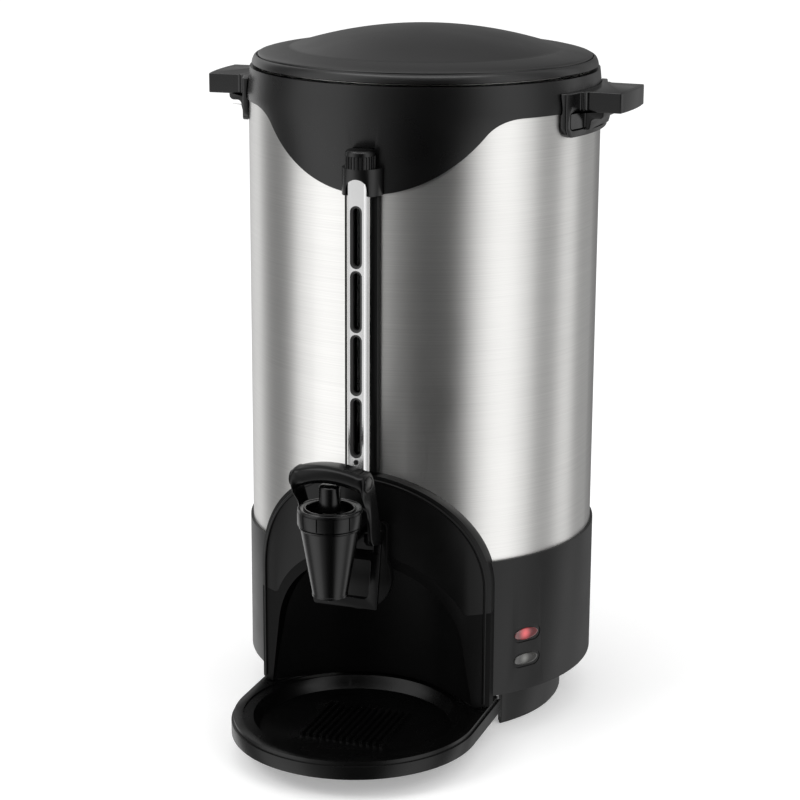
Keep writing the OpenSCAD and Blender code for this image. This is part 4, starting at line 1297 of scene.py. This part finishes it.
@dataclass
class Lid(Assembly):
    """Domed lid with a raised rim, its liner and its seal."""

    base_z: float = 466.0
    band_r: float = 122.7
    seam_z: float = 473.4
    crease: Point2 = (96.4, 477.9)
    top_z: float = 493.3
    wall: float = 2.5
    plug_r: float = 107.6
    plug_t: float = 3.6
    plug_z: float = 464.0

    def outline(self) -> list[Point2]:
        """Outside of the lid from its lower edge to the axis.

        Returns:
            Radius and height of each point.
        """
        crease_r, crease_z = self.crease
        rise = self.top_z - crease_z
        sphere = (crease_r**2 + rise**2) / (2 * rise)
        foot = math.degrees(math.acos(crease_r / sphere))
        r, z, seam = self.band_r, self.base_z, self.seam_z
        band = [(r - 0.5, z + 0.9), (r - 0.1, z + 1.1), (r, z + 1.6), (r - 0.35, z + 3.2), (r - 1.0, z + 4.8)]
        bend = [(r - 1.7, z + 6.0), (r - 2.5, seam - 0.7), (r - 3.0, seam - 0.55)]
        groove = [(r - 3.5, seam - 0.75), (r - 3.8, seam - 1.9), (r - 4.3, seam - 1.9), (r - 4.35, seam - 0.2)]
        slope = [
            (r - 4.45, seam + 0.2), (r - 4.8, seam + 0.55), (r - 5.4, seam + 0.85), (r - 7.5, seam + 1.5),
            (r - 12.0, seam + 2.55),
        ]
        crease = [(crease_r + 6.0, crease_z - 0.6), (crease_r + 0.4, crease_z - 0.02)]
        dome = arc((0.0, self.top_z - sphere), sphere, foot, 90, 40)
        return band + bend + groove + slope + crease + dome

    def shell(self) -> bpy.types.Object:
        """The lid's shell with its plug ring.

        Returns:
            The shell.
        """
        t, r, seam = self.wall, self.band_r, self.seam_z
        crease_r, crease_z = self.crease
        inside = [
            (0.0, self.top_z - t), (60.0, self.top_z - t - 5.9), (crease_r - 1.0, crease_z - t + 0.2),
            (110.0, 476.1 - t), (r - 7.5, seam - 1.5), (r - t - 2.2, seam - 4.5), (r - t, self.base_z + 0.8),
        ]
        shell = revolve("lid", self.outline() + inside, 240)
        low, high = self.plug_z, self.base_z + 8
        outer, inner = self.plug_r, self.plug_r - self.plug_t
        plug = revolve("plug", [(outer, low), (outer, high), (inner, high), (inner, low)], 160)
        return joined("lid", [shell, plug])

    def build(self) -> None:
        """Makes the lid."""
        self.hand_in(self.shell(), Finish.SATIN, "lid_shell")
        self.soften(Finish.TANK, 0.3, "lid_liner")
        self.keep(Finish.SILICONE, "lid_seal")


@dataclass
class Handles(Assembly):
    """Two side handles with their shields and screws."""

    edge: float = 0.9
    merge: float = 0.25
    flat: float = 2.0
    head_r: float = 3.4
    head_h: float = 2.5
    shank_r: float = 1.7
    turn: float = 3.0

    def build(self) -> None:
        """Makes both handles and their fastenings."""
        for node in ("handle_left", "handle_right"):
            grip = merged_copy(self.node(node), self.merge, self.flat)
            self.hand_in(round_edges(grip, self.edge, 4, clamp=False), Finish.GRIP, node)
        self.keep(Finish.PLATED, "handle_plates")
        places, aims = [], []
        turn = math.radians(self.turn)
        for low, high in self.solids("handle_screws"):
            middle = (low + high) / 2
            side = 1.0 if middle.x > 0 else -1.0
            inward = Vector((-side * math.cos(turn), math.sin(turn), 0.0))
            total = (high.x - low.x - 2 * self.head_r * math.sin(turn)) / math.cos(turn)
            places.append(tuple(middle + inward * (total / 2 - self.head_h)))
            aims.append(tuple(inward))
            length = total - self.head_h
        piece = screw("screw", self.head_r, self.head_h, self.shank_r, length)
        self.hand_in(self.repeats.at_places(piece, places, aims), Finish.PLATED, "handle_screws")


@dataclass
class SightGauge(Assembly):
    """Slotted chrome cover over the sight glass, with its channel, holder and fluted cap, and a black strip
    behind the glass as painted shade.
    """

    front_y: float = -140.7
    flat_half: float = 5.6
    half: float = 8.0
    cover_t: float = 1.0
    flank_drop: float = 4.4
    slots: int = 4
    slot_z: float = 213.3
    slot_len: float = 42.65
    slot_step: float = 43.85
    slot_half: float = 4.25
    cap_y: float = -132.6
    cap_r: float = 10.2
    cap_z: float = 411.8
    cap_top: float = 424.2
    flutes: int = 26
    shade_strip_half: float = 7.6
    shade_strip_y: Point2 = (-127.6, -126.2)
    shade_strip_past: float = 6.0

    def cover(self) -> bpy.types.Object:
        """The chrome cover: flat in front, with flanks that curve back.

        Returns:
            The cover.
        """
        obj = merged_copy(self.node("gauge_cover"))
        reach = self.half - self.flat_half
        with edited(obj) as bm:
            for share in (0.0, 0.14, 0.3, 0.46, 0.62, 0.76, 0.88, 0.96):
                x = self.flat_half + reach * share
                for side in (-1, 1):
                    bmesh.ops.bisect_plane(
                        bm, geom=bm.verts[:] + bm.edges[:] + bm.faces[:], dist=0.001 * MM,
                        plane_co=(side * x * MM, 0, 0), plane_no=(1, 0, 0),
                    )
            for vert in bm.verts:
                out = min(1.0, max(0.0, abs(vert.co.x) / MM - self.flat_half) / reach)
                drop = self.flank_drop * (0.75 * out + 0.25 * (1 - math.sqrt(max(0.0, 1 - out**2))))
                behind = vert.co.y / MM - self.front_y - self.cover_t
                vert.co.y += drop * (1.0 - min(1.0, max(0.0, behind / 6.0))) * MM
        return smooth(round_edges(obj, 0.22, 2, 55), math.radians(14))

    def slot_rims(self) -> list[bpy.types.Object]:
        """A rubber rim inside each slot.

        Returns:
            The rims.
        """
        rims = []
        for i in range(self.slots):
            middle = self.slot_z + self.slot_len / 2 + i * self.slot_step
            loops = []
            for inset, y in ((0.03, 0.5), (1.6, 0.8), (1.6, 4.0), (0.03, 4.0)):
                slot = oval_slot((0.0, middle), self.slot_half - inset, self.slot_len / 2 - inset, 14)
                loops.append([(x, self.front_y + y, z) for x, z in slot])
            rims.append(loft("rim", loops, closed=True))
        return rims

    def cap(self) -> bpy.types.Object:
        """The fluted cap over the glass.

        Returns:
            The cap.
        """
        top, r = self.cap_top, self.cap_r
        skirt = top - 4.0
        body = revolve("cap", [
            (0, top), (r - 2.6, top), (r - 1.3, top - 0.4), (r - 0.45, top - 1.2), (r - 0.1, top - 2.4),
            (r - 0.1, skirt), (r - 0.75, skirt - 0.5), (r - 0.75, self.cap_z), (0, self.cap_z),
        ], 96, (0.0, self.cap_y))
        height = skirt - self.cap_z
        section = rounded([(-0.5, -0.75, 0), (0.72, -0.5, 0.35), (0.72, 0.5, 0.35), (-0.5, 0.75, 0)], 3)
        rib = loft("rib", [[(x, y, z) for x, y in section] for z in (0.0, height - 0.6, height)])
        ribs = self.repeats.ring_of(rib, self.flutes, r - 0.75, (0.0, self.cap_y, self.cap_z))
        return joined("cap", [body, ribs])

    def build(self) -> None:
        """Makes the gauge."""
        self.hand_in(self.cover(), Finish.CHROME, "gauge_cover")
        channel = softened_copy(self.node("gauge_channel"), 0.4)
        # Painted shade: a black strip between the glass and the steel stands in for the shade seen through the
        # slots.
        half, (front, rear) = self.shade_strip_half, self.shade_strip_y
        low = self.slot_z - self.shade_strip_past
        high = self.slot_z + self.slots * self.slot_step + self.shade_strip_past
        corners = ((-half, front), (half, front), (half, rear), (-half, rear))
        strip = round_edges(loft("back", [[(x, y, z) for x, y in corners] for z in (low, high)]), 0.3)
        self.hand_in(joined("channel", [channel, strip]), Finish.MATTE, "gauge_channel")
        seals = merged_copy(self.node("gauge_seals"))
        self.hand_in(joined("seals", [seals, *self.slot_rims()]), Finish.GASKET, "gauge_seals")
        self.soften(Finish.BLACK, 0.6, "gauge_holder")
        self.hand_in(self.cap(), Finish.BLACK, "gauge_cap")
        self.keep(Finish.GLASS, "gauge_glass")
        self.keep(Finish.BRASS, "gauge_elbow")
        self.soften(Finish.DARK, 0.3, "gauge_screw")


@dataclass
class Tap(Assembly):
    """Lever tap: plate, tapered body, ring nut, plunger, and the lever with its bail and trigger."""

    y: float = -190.5
    cone_z: float = 131.7
    cone_top: float = 181.0
    cone_r: Point2 = (11.6, 20.2)
    ring_r: float = 21.9
    ring_z: float = 181.4
    ring_top: float = 193.5
    panels: int = 12
    first_groove: float = -3.0
    plunger_r: float = 7.2
    head_z: float = 190.5
    head_top: float = 208.7
    neck_r: float = 11.0
    shank_z: float = 168.0
    plate_y: float = -137.0
    bail_z: float = 216.5
    bail_bend: float = 63.75
    bail_h: float = 12.5
    bail_y: float = -188.0
    arm_out: float = 27.0
    arm_in: float = 24.1
    pivot: Point2 = (-152.0, 163.0)
    frame_foot_z: float = 114.0
    frame_lean: float = 11 / 57
    frame_t: float = 4.0
    frame_half: float = 23.0
    rail: float = 6.4
    web_x: Point2 = (17.8, 23.6)
    rim_half: Point2 = (6.6, 4.6)
    rim_z: float = 211.6
    rim_r: float = 0.6

    def cone(self) -> bpy.types.Object:
        """The tapered body with its rims, and the neck to the plate.

        Returns:
            The tap's body.
        """
        low, high = self.cone_r
        z0, z1 = self.cone_z, self.cone_top
        slope = (high - low) / (z1 - z0)
        body = revolve("cone", [
            (8.0, z0), (low + 0.1, z0), (low + 0.45, z0 + 0.3), (low + 0.55, z0 + 1.4), (low + 0.3, z0 + 1.8),
            (low + slope * 2.4, z0 + 2.4), (high - slope * 1.9, z1 - 1.9), (high + 0.1, z1 - 1.5),
            (high + 0.5, z1 - 1.1), (high + 0.5, z1 - 0.35), (high, z1), (12.0, z1), (12.0, 160.0),
            (5.0, 160.0), (5.0, 158.0), (8.0, 158.0),
        ], 160, (0.0, self.y))
        narrow, wide = self.neck_r, self.neck_r + 1.4
        plate = self.plate_y
        rows = ((narrow, self.y + 12), (narrow, plate - 2.2), (wide, plate - 1.6), (wide, plate))
        neck = loft("neck", [
            [(r * math.cos(a), y, self.shank_z + r * math.sin(a)) for a in full_turn(64)] for r, y in rows
        ])
        return joined("tap_body", [body, neck])

    def ring(self) -> bpy.types.Object:
        """The ring nut: flat panels apart by thin grooves, between a raised lip and a foot.

        Returns:
            The ring nut.
        """
        z0, z1, r = self.ring_z, self.ring_top, self.ring_r
        bore = self.plunger_r + 0.6
        rows = [
            (17.6, z0, 0), (r - 0.9, z0, 0), (r - 0.5, z0 + 0.3, 0), (r - 0.5, z0 + 0.7, 0),
            (r - 0.1, z0 + 0.9, 1), (r, z0 + 1.2, 1), (r, z1 - 2.7, 1), (r - 0.1, z1 - 2.4, 1),
            (r - 0.5, z1 - 2.2, 0), (r - 0.5, z1 - 1.8, 0), (r - 0.25, z1 - 1.5, 0), (r - 0.3, z1 - 0.5, 0),
            (r - 0.9, z1, 0), (r - 1.6, z1, 0), (r - 2.2, z1 - 0.6, 0), (r - 4.2, z1 - 1.0, 0),
            (r - 4.5, z1 - 0.2, 0), (r - 5.0, z1 + 0.1, 0), (r - 5.6, z1, 0), (r - 6.0, z1 - 0.5, 0),
            (r - 6.2, z1 - 7.5, 0), (bore, z1 - 7.8, 0), (bore, z0 + 3.0, 0), (17.6, z0 + 2.8, 0),
        ]
        pitch = 360 / self.panels
        turns = [(-0.9, 1.0), (0.9, 1.0), (1.15, 0.0)]
        turns += [(1.15 + (pitch - 2.3) * k / 7, 0.0) for k in range(1, 7)] + [(pitch - 1.15, 0.0)]
        loops = []
        for panel in range(self.panels):
            for turn, groove in turns:
                a = math.radians(panel * pitch + turn + self.first_groove)
                cuts = [(radius - groove * deep, z) for radius, z, deep in rows]
                loops.append([(out * math.cos(a), self.y + out * math.sin(a), z) for out, z in cuts])
        return loft("ring", loops, closed=True)

    def plunger(self) -> bpy.types.Object:
        """The valve's head, with a rounded top, on its stem and foot.

        Returns:
            The plunger.
        """
        r, top = self.plunger_r, self.head_top
        return revolve("plunger", [
            (0, top), (r - 1.5, top), (r - 0.8, top - 0.2), (r - 0.25, top - 0.7), (r, top - 1.4),
            (r, self.head_z + 0.4), (r - 0.4, self.head_z), (r - 1.2, self.head_z), (r - 1.2, top - 1.5),
            (2.5, top - 1.5), (2.5, 154.1), (5.5, 154.1), (5.5, 150.6), (0, 150.6),
        ], 96, (0.0, self.y))

    def bail_path(self) -> list[tuple[Vector, Vector]]:
        """Inner and outer points, in X and Z, of the right half of the bail, from its foot to its top.

        Returns:
            Pairs of an inner and an outer point.
        """
        foot_z, outer_end, inner_end = 164.0, 214.5, 199.5
        low = self.bail_bend - self.bail_h / 2
        high = self.bail_bend + self.bail_h / 2
        centre_z = self.bail_z - self.bail_bend
        inner, outer = [], []
        steps = 14
        for i in range(steps):
            t = i / (steps - 1)
            bulge = 0.35 * math.sin(math.pi * t)
            lean = 1.6 * (1 - t)
            inner.append(Vector((self.arm_in - lean - bulge, foot_z + (inner_end - foot_z) * t)))
            outer.append(Vector((self.arm_out - lean - bulge, foot_z + (outer_end - 2.5 - foot_z) * t)))
        end_angle = math.acos((self.arm_out - 4.5) / high)
        inner_angle = math.acos((self.arm_in - 8.0) / low)
        outer_top = centre_z + high * math.sin(end_angle)
        inner_top = centre_z + low * math.sin(inner_angle)
        corner = [
            Vector((self.arm_out, outer_end - 2.5)), Vector((self.arm_out, outer_top + 0.6)),
            Vector((high * math.cos(end_angle), outer_top)),
        ]
        fillet = [
            Vector((self.arm_in, inner_end)), Vector((self.arm_in, inner_top - 0.8)),
            Vector((low * math.cos(inner_angle), inner_top)),
        ]
        for i in range(1, 10):
            t = i / 9
            for path, (a, b, c) in ((outer, corner), (inner, fillet)):
                path.append(a * (1 - t) ** 2 + b * 2 * t * (1 - t) + c * t**2)
        for i in range(1, 13):
            t = i / 12
            a = end_angle + (math.pi / 2 - end_angle) * t
            outer.append(Vector((high * math.cos(a), centre_z + high * math.sin(a))))
            a = inner_angle + (math.pi / 2 - inner_angle) * t
            inner.append(Vector((low * math.cos(a), centre_z + low * math.sin(a))))
        return list(zip(inner, outer))

    def bail_depth(self, z: float) -> tuple[float, float]:
        """Front and back Y of the bail at a height.

        Args:
            z: the height.

        Returns:
            The front's and the back's Y.
        """
        front = spline(z, [
            (164.0, -175.0), (167.0, -178.0), (172.0, -180.2), (184.0, -182.6), (195.0, -187.0),
            (203.0, -193.6), (208.0, -197.0), (213.0, -197.7),
        ])
        back = spline(z, [
            (164.0, -160.5), (172.0, -161.5), (183.0, -165.0), (195.0, -169.6), (204.0, -174.5),
            (210.0, -177.5), (214.0, -178.3),
        ])
        return front, back

    def bail(self) -> bpy.types.Object:
        """The bail and its two arms, swept in one piece.

        Returns:
            The bail.
        """
        right = self.bail_path()
        left = [(Vector((-a.x, a.y)), Vector((-b.x, b.y))) for a, b in reversed(right[:-1])]
        loops = []
        for inner, outer in right + left:
            middle = (inner + outer) / 2
            across = outer - inner
            thick = across.length
            front, back = self.bail_depth(middle.y)
            full = min(thick, back - front) / 2
            round_ = min(full * 0.96, 0.9 + max(0.0, thick - 4.5) * 0.75)
            half = thick / 2
            corners = ((-half, front), (half, front), (half, back), (-half, back))
            section = rounded([(u, v, round_) for u, v in corners], 6)
            along = across.normalized()
            loops.append([(middle.x + along.x * u, v, middle.y + along.y * u) for u, v in section])
        return loft("bail", loops)

    def trigger(self) -> bpy.types.Object:
        """The cup trigger: two rails and two cross-pieces with a rounded window, leaning back.

        Returns:
            The trigger.
        """
        half, z0 = self.frame_half, self.frame_foot_z
        gap = half - self.rail
        outer = rounded([(-half, z0, 3), (half, z0, 0.6), (half, z0 + 39, 1), (-half, z0 + 39, 1)], 6)
        hole = rounded([(-gap, z0 + 7, 3), (gap, z0 + 7, 3), (gap, z0 + 33, 1.5), (-gap, z0 + 33, 1.5)], 6)
        pieces = [plate_with_hole("trigger", outer, hole, self.frame_t)]
        for side in (-1, 1):
            near, far = side * self.web_x[0], side * half
            strip = [(near, z0 + 37), (far, z0 + 37), (far, z0 + 52), (near, z0 + 52)]
            pieces.append(plate_with_hole("rail", strip if side > 0 else strip[::-1], [], self.frame_t))
        obj = joined("trigger", pieces)
        pivot_y, pivot_z = self.pivot
        for vert in obj.data.vertices:
            z = vert.co.z / MM
            vert.co.y += (pivot_y - (pivot_z - z) * self.frame_lean) * MM
        return round_edges(obj, 0.7, 3, 40)

    def hubs(self) -> list[bpy.types.Object]:
        """The two hubs round the pins, with the webs up to the arms.

        Returns:
            The hubs and webs.
        """
        out = []
        y, z = self.pivot
        for side in (-1, 1):
            web = [
                (y - 4.5, z - 4.4), (y + 4.8, z - 2.5), (y + 5.0, z + 2.2), (y - 8.3, z + 7.0),
                (y - 12.0, z + 9.0), (y - 21.0, z + 9.0), (y - 22.5, z + 3.0), (y - 18.0, z - 1.0),
            ]
            loops = [[(side * x, py, pz) for py, pz in web] for x in self.web_x]
            piece = round_edges(loft("web", loops), 0.8, 3, 25)
            rows = ((4.7, 17.5), (5.5, 18.0), (5.5, 22.6), (5.1, 23.0), (2.3, 23.0), (2.3, 17.5))
            hub_loops = [
                [(side * x, y + r * math.cos(a), z + r * math.sin(a)) for a in full_turn(48)] for r, x in rows
            ]
            out += [piece, loft("hub", hub_loops, closed=True)]
        return out

    def end_rims(self) -> list[bpy.types.Object]:
        """The raised oval rims in the bail's two ends.

        Returns:
            The rims.
        """
        rims = []
        oval = oval_slot((self.bail_y - 1.0, self.rim_z), *self.rim_half, 12, True)
        for side in (-1, 1):
            path = [(side * (self.arm_out - 0.3), y, z) for y, z in oval]
            rims.append(self.repeats.bead_on(path, self.rim_r, loop=True))
        return rims

    def build(self) -> None:
        """Makes the tap."""
        self.soften(Finish.MATTE, 0.6, "tap_plate")
        self.hand_in(self.cone(), Finish.TAP, "tap_body")
        self.hand_in(self.ring(), Finish.TAP, "tap_ring")
        self.hand_in(self.plunger(), Finish.TAP, "plunger")
        lever = joined("lever", [self.bail(), self.trigger(), *self.hubs(), *self.end_rims()])
        self.hand_in(lever, Finish.LEVER, "tap_lever")
        self.soften(Finish.PLATED, 0.25, "lever_pins")
        self.keep(Finish.PLATED, "tap_nut", "tap_shank", "tap_spring")
        self.keep(Finish.WHITE, "tap_bonnet")
        self.keep(Finish.RUBBER, "tap_washers")
        self.keep(Finish.SILICONE, "seat_seal")


@dataclass
class Front(Assembly):
    """Arched panel with its raised edge, and the cup niche behind it."""

    arch_r: float = 86.0
    arch_z: float = 114.6
    face_r: float = 133.5
    foot_z: float = 31.0
    bead_in: float = 3.6
    bead_r: float = 1.0
    lip_z: float = 28.7
    rear_below: float = 35.0
    rear_behind: float = -110.0

    def edge_path(self, inset: float, out: float) -> list[Point3]:
        """Points along the arch's edge, set in from it and out from the panel's face.

        Args:
            inset: how far in from the edge.
            out: how far out from the face.

        Returns:
            The points.
        """
        r = self.arch_r - inset
        flat = [(r, self.foot_z)] + arc((0.0, self.arch_z), r, 0, 180, 96) + [(-r, self.foot_z)]
        face = self.face_r + out
        return [(x, -math.sqrt(face**2 - x**2), z) for x, z in flat]

    def niche(self) -> bpy.types.Object:
        """The cup niche, with its rear wall drawn down close to the tray's rim.

        Returns:
            The niche.
        """
        obj = merged_copy(self.node("niche_frame"))
        with edited(obj) as bm:
            rear = []
            for face in bm.faces:
                middle = face.calc_center_median() / MM
                if face.normal.z < -0.9 and middle.z < self.rear_below and middle.y > self.rear_behind:
                    rear.append(face)
            LOG.info("niche: %d rear faces drawn down", len(rear))
            for item in bmesh.ops.extrude_face_region(bm, geom=rear)["geom"]:
                if isinstance(item, bmesh.types.BMVert):
                    item.co.z = self.lip_z * MM
            bmesh.ops.delete(bm, geom=[f for f in rear if f.is_valid], context="FACES_ONLY")
        return obj

    def build(self) -> None:
        """Makes the front."""
        panel = softened_copy(self.node("arch_cover"), 0.9)
        bead = self.repeats.bead_on(self.edge_path(self.bead_in, 0.1), self.bead_r)
        self.hand_in(joined("panel", [panel, bead]), Finish.MATTE, "arch_cover")
        self.hand_in(round_edges(self.niche(), 0.4), Finish.LINER, "niche_frame")


@dataclass
class Base(Assembly):
    """Black base with its lamps, foot, bottom plate and screws."""

    lamp_angle: float = 55.2
    lamp_z: Point2 = (75.0, 56.0)
    lens_face: float = 125.75
    lens_half: Point2 = (10.6, 4.3)
    stem_half: Point2 = (7.4, 3.9)
    lens_depth: float = 6.0
    lens_rise: float = 1.1
    lens_edge: float = 0.15
    head_h: float = 1.8

    def lens(self, z: float) -> bpy.types.Object:
        """One domed oval lens at a height.

        Args:
            z: the height of its middle.

        Returns:
            The lens.
        """
        turn = math.radians(self.lamp_angle)
        stem, face = self.stem_half, self.lens_half
        edge = self.lens_edge
        levels = [(-self.lens_depth, *stem), (-0.1, *stem), (-0.1, *face), (edge, *face)]
        for t in (math.radians(a) for a in range(8, 89, 10)):
            share = math.cos(t) ** 0.8
            levels.append((edge + (self.lens_rise - edge) * math.sin(t), face[0] * share, face[1] * share))
        loops = []
        for rise, half_w, half_h in levels:
            out = self.lens_face + rise
            loops.append([
                (half_w * math.cos(a) * math.cos(turn) + out * math.sin(turn),
                 half_w * math.cos(a) * math.sin(turn) - out * math.cos(turn), z + half_h * math.sin(a))
                for a in full_turn(56)
            ])
        return loft("lens", loops)

    def build(self) -> None:
        """Makes the base."""
        self.soften(Finish.BASE, 0.6, "base_shell", "foot_ring")
        self.hand_in(self.lens(self.lamp_z[0]), Finish.RED, "lamp_lens_red")
        self.hand_in(self.lens(self.lamp_z[1]), Finish.AMBER, "lamp_lens_amber")
        self.keep(Finish.RUBBER, "foot_grip")
        self.keep(Finish.PLATED, "tray_rails")
        self.soften(Finish.PLATED, 0.3, "bottom_plate")
        self.keep(Finish.BLACK, "cord_gland", "gland_nut")
        self.keep(Finish.GLASS, "lamp_bulbs")
        self.keep(Finish.WHITE, "lamp_holders", "terminal_block", "thermostats", "thermal_fuse")
        self.keep(Finish.WIRE, "wires")
        self.keep(Finish.PLATED, "heater_clamp")
        self.keep(Finish.ALLOY, "heater_plate", "heater_element")
        for node in ("base_screws", "plate_screws"):
            boxes = self.solids(node)
            low, high = boxes[0]
            head_r = (high.x - low.x) / 2
            places = [((a.x + b.x) / 2, (a.y + b.y) / 2, a.z + self.head_h) for a, b in boxes]
            piece = screw("screw", head_r, self.head_h, head_r * 0.5, high.z - low.z - self.head_h)
            screws = self.repeats.at_places(piece, places, [(0.0, 0.0, -1.0)] * len(places))
            self.hand_in(screws, Finish.PLATED, node)


@dataclass
class DripTray(Assembly):
    """Pull-out tray with a raised rim and a field of ribs."""

    def build(self) -> None:
        """Makes the tray."""
        self.soften(Finish.TRAY, 0.4, "drip_tray")


@dataclass
class Percolator(Assembly):
    """Basket, its lid and the pump tube."""

    def build(self) -> None:
        """Makes the percolator."""
        self.soften(Finish.TANK, 0.2, "coffee_basket", "basket_lid", "pump_tube")


# ---------------------------------------------------------------- small shapes


def spline(x: float, points: Sequence[Point2]) -> float:
    """Value at x of a smooth curve through points in rising order.

    Args:
        x: where the value is taken.
        points: the curve's points.

    Returns:
        The value.
    """
    if x <= points[0][0]:
        return points[0][1]
    for i in range(len(points) - 1):
        (x0, y0), (x1, y1) = points[i], points[i + 1]
        if x <= x1:
            before = points[max(0, i - 1)]
            after = points[min(len(points) - 1, i + 2)]
            m0 = (y1 - before[1]) / (x1 - before[0])
            m1 = (after[1] - y0) / (after[0] - x0)
            t, h = (x - x0) / (x1 - x0), x1 - x0
            return (
                y0 * (2 * t**3 - 3 * t**2 + 1) + m0 * h * (t**3 - 2 * t**2 + t)
                + y1 * (3 * t**2 - 2 * t**3) + m1 * h * (t**3 - t**2)
            )
    return points[-1][1]


def oval_slot(centre: Point2, half_w: float, half_h: float, steps: int, flat: bool = False) -> list[Point2]:
    """Outline of a slot with round ends, upright unless flat.

    Args:
        centre: its centre.
        half_w: half its width.
        half_h: half its height.
        steps: steps in each round end.
        flat: whether the long way lies along the first axis.

    Returns:
        The outline's points.
    """
    x, y = centre
    if flat:
        reach = half_w - half_h
        return arc((x + reach, y), half_h, -90, 90, steps) + arc((x - reach, y), half_h, 90, 270, steps)
    reach = half_h - half_w
    return arc((x, y + reach), half_w, 0, 180, steps) + arc((x, y - reach), half_w, 180, 360, steps)


def plate_with_hole(
    name: str, outer: Sequence[Point2], hole: Sequence[Point2], thick: float
) -> bpy.types.Object:
    """A plate in X and Z with a hole, its thickness centred on Y 0.

    Args:
        name: name of the new object.
        outer: outline of the plate.
        hole: outline of the hole, or nothing.
        thick: thickness in millimetres.

    Returns:
        The plate.
    """
    bm = bmesh.new()
    rings = []
    for outline in (outer, hole):
        if outline:
            verts = [bm.verts.new((x * MM, -thick / 2 * MM, z * MM)) for x, z in outline]
            rings += [bm.edges.new((verts[i - 1], verts[i])) for i in range(len(verts))]
    bmesh.ops.triangle_fill(bm, use_beauty=True, use_dissolve=False, edges=rings)
    if hole:
        inside = [f for f in bm.faces if within(f.calc_center_median() / MM, hole)]
        bmesh.ops.delete(bm, geom=inside, context="FACES_ONLY")
    bmesh.ops.dissolve_limit(bm, angle_limit=math.radians(1), verts=bm.verts, edges=bm.edges)
    push = bmesh.ops.extrude_face_region(bm, geom=bm.faces[:])
    for item in push["geom"]:
        if isinstance(item, bmesh.types.BMVert):
            item.co.y += thick * MM
    mesh = bpy.data.meshes.new(name)
    bm.to_mesh(mesh)
    bm.free()
    return tidy_mesh(link_object(name, mesh))


def within(point: Vector, outline: Sequence[Point2]) -> bool:
    """Whether a point's X and Z lie within an outline.

    Args:
        point: the point.
        outline: the outline's X and Z.

    Returns:
        Whether it lies within.
    """
    inside = False
    for i, (x1, z1) in enumerate(outline):
        x0, z0 = outline[i - 1]
        if (z1 > point.z) != (z0 > point.z) and point.x < (x0 - x1) * (point.z - z1) / (z0 - z1) + x1:
            inside = not inside
    return inside


def screw(name: str, head_r: float, head_h: float, shank_r: float, length: float) -> bpy.types.Object:
    """A pan-head screw with a cross recess: its head points along +Z and its shank down from the origin.

    Args:
        name: name of the new object.
        head_r: radius of the head.
        head_h: height of the head.
        shank_r: radius of the shank.
        length: length of the shank.

    Returns:
        The screw.
    """
    angles = full_turn(40)
    arm = head_r * 0.17
    rows = (
        (shank_r, -length), (shank_r, 0.0), (head_r, 0.0), (head_r, head_h * 0.45),
        (head_r * 0.9, head_h * 0.8), (head_r * 0.68, head_h * 0.98),
    )
    loops = [[(r * math.cos(a), r * math.sin(a), z) for a in angles] for r, z in rows]
    cross = []
    for a in angles:
        c, s = abs(math.cos(a)), abs(math.sin(a))
        r = min(head_r * 0.58, arm / max(min(c, s), 0.05))
        cross.append((r * math.cos(a), r * math.sin(a)))
    loops.append([(x, y, head_h) for x, y in cross])
    loops.append([(x * 0.8, y * 0.8, head_h * 0.3) for x, y in cross])
    return loft(name, loops)


def merged_copy(source: bpy.types.Object, merge: float = FINE_MERGE, angle: float = 0.6) -> bpy.types.Object:
    """A copy of a CAD node with its triangles merged into flat faces.

    Args:
        source: the CAD node.
        merge: distance in millimetres under which points merge.
        angle: faces that differ by fewer degrees merge.

    Returns:
        The copy.
    """
    obj = link_object(f"{source.name}_copy", source.data.copy())
    if obj.data.has_custom_normals:
        with bpy.context.temp_override(object=obj, active_object=obj):
            bpy.ops.mesh.customdata_custom_splitnormals_clear()
    with edited(obj) as bm:
        bmesh.ops.remove_doubles(bm, verts=bm.verts, dist=merge * MM)
        if merge > FINE_MERGE:
            bmesh.ops.dissolve_degenerate(bm, edges=bm.edges, dist=merge * MM)
        bmesh.ops.dissolve_limit(bm, angle_limit=math.radians(angle), verts=bm.verts, edges=bm.edges)
        for edge in bm.edges:
            edge.smooth = True
    return obj


def round_edges(
    obj: bpy.types.Object, width: float, segments: int = 3, angle: float = 40.0, clamp: bool = True
) -> bpy.types.Object:
    """Rounds an object's edges that are sharper than an angle.

    Args:
        obj: the object.
        width: width of the rounding in millimetres.
        segments: steps in the rounding.
        angle: edges sharper than this many degrees are rounded.
        clamp: whether the rounding is held back by the shortest edge.

    Returns:
        The same object.
    """
    bevel = obj.modifiers.new("edge", "BEVEL")
    bevel.width = width * MM
    bevel.segments = segments
    bevel.limit_method = "ANGLE"
    bevel.angle_limit = math.radians(angle)
    bevel.use_clamp_overlap = clamp
    bevel.miter_outer = "MITER_ARC"
    return smooth(apply_all(obj))


def softened_copy(source: bpy.types.Object, width: float) -> bpy.types.Object:
    """A copy of a CAD node with its edges rounded by a width in millimetres."""
    return round_edges(merged_copy(source), width)


def main() -> None:
    """Builds the urn's looks in order."""
    logging.basicConfig(level=logging.INFO, format="%(message)s")
    for obj in list(bpy.data.objects):
        bpy.data.objects.remove(obj)
    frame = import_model()
    Studio().build()
    wardrobe, repeats = Wardrobe(Effects()), Repeats()
    for kind in (Body, Lid, Handles, SightGauge, Tap, Front, Base, DripTray, Percolator):
        LOG.info("-- %s", kind.__name__)
        kind(wardrobe, repeats, frame).build()


if __name__ == "__main__":
    main()
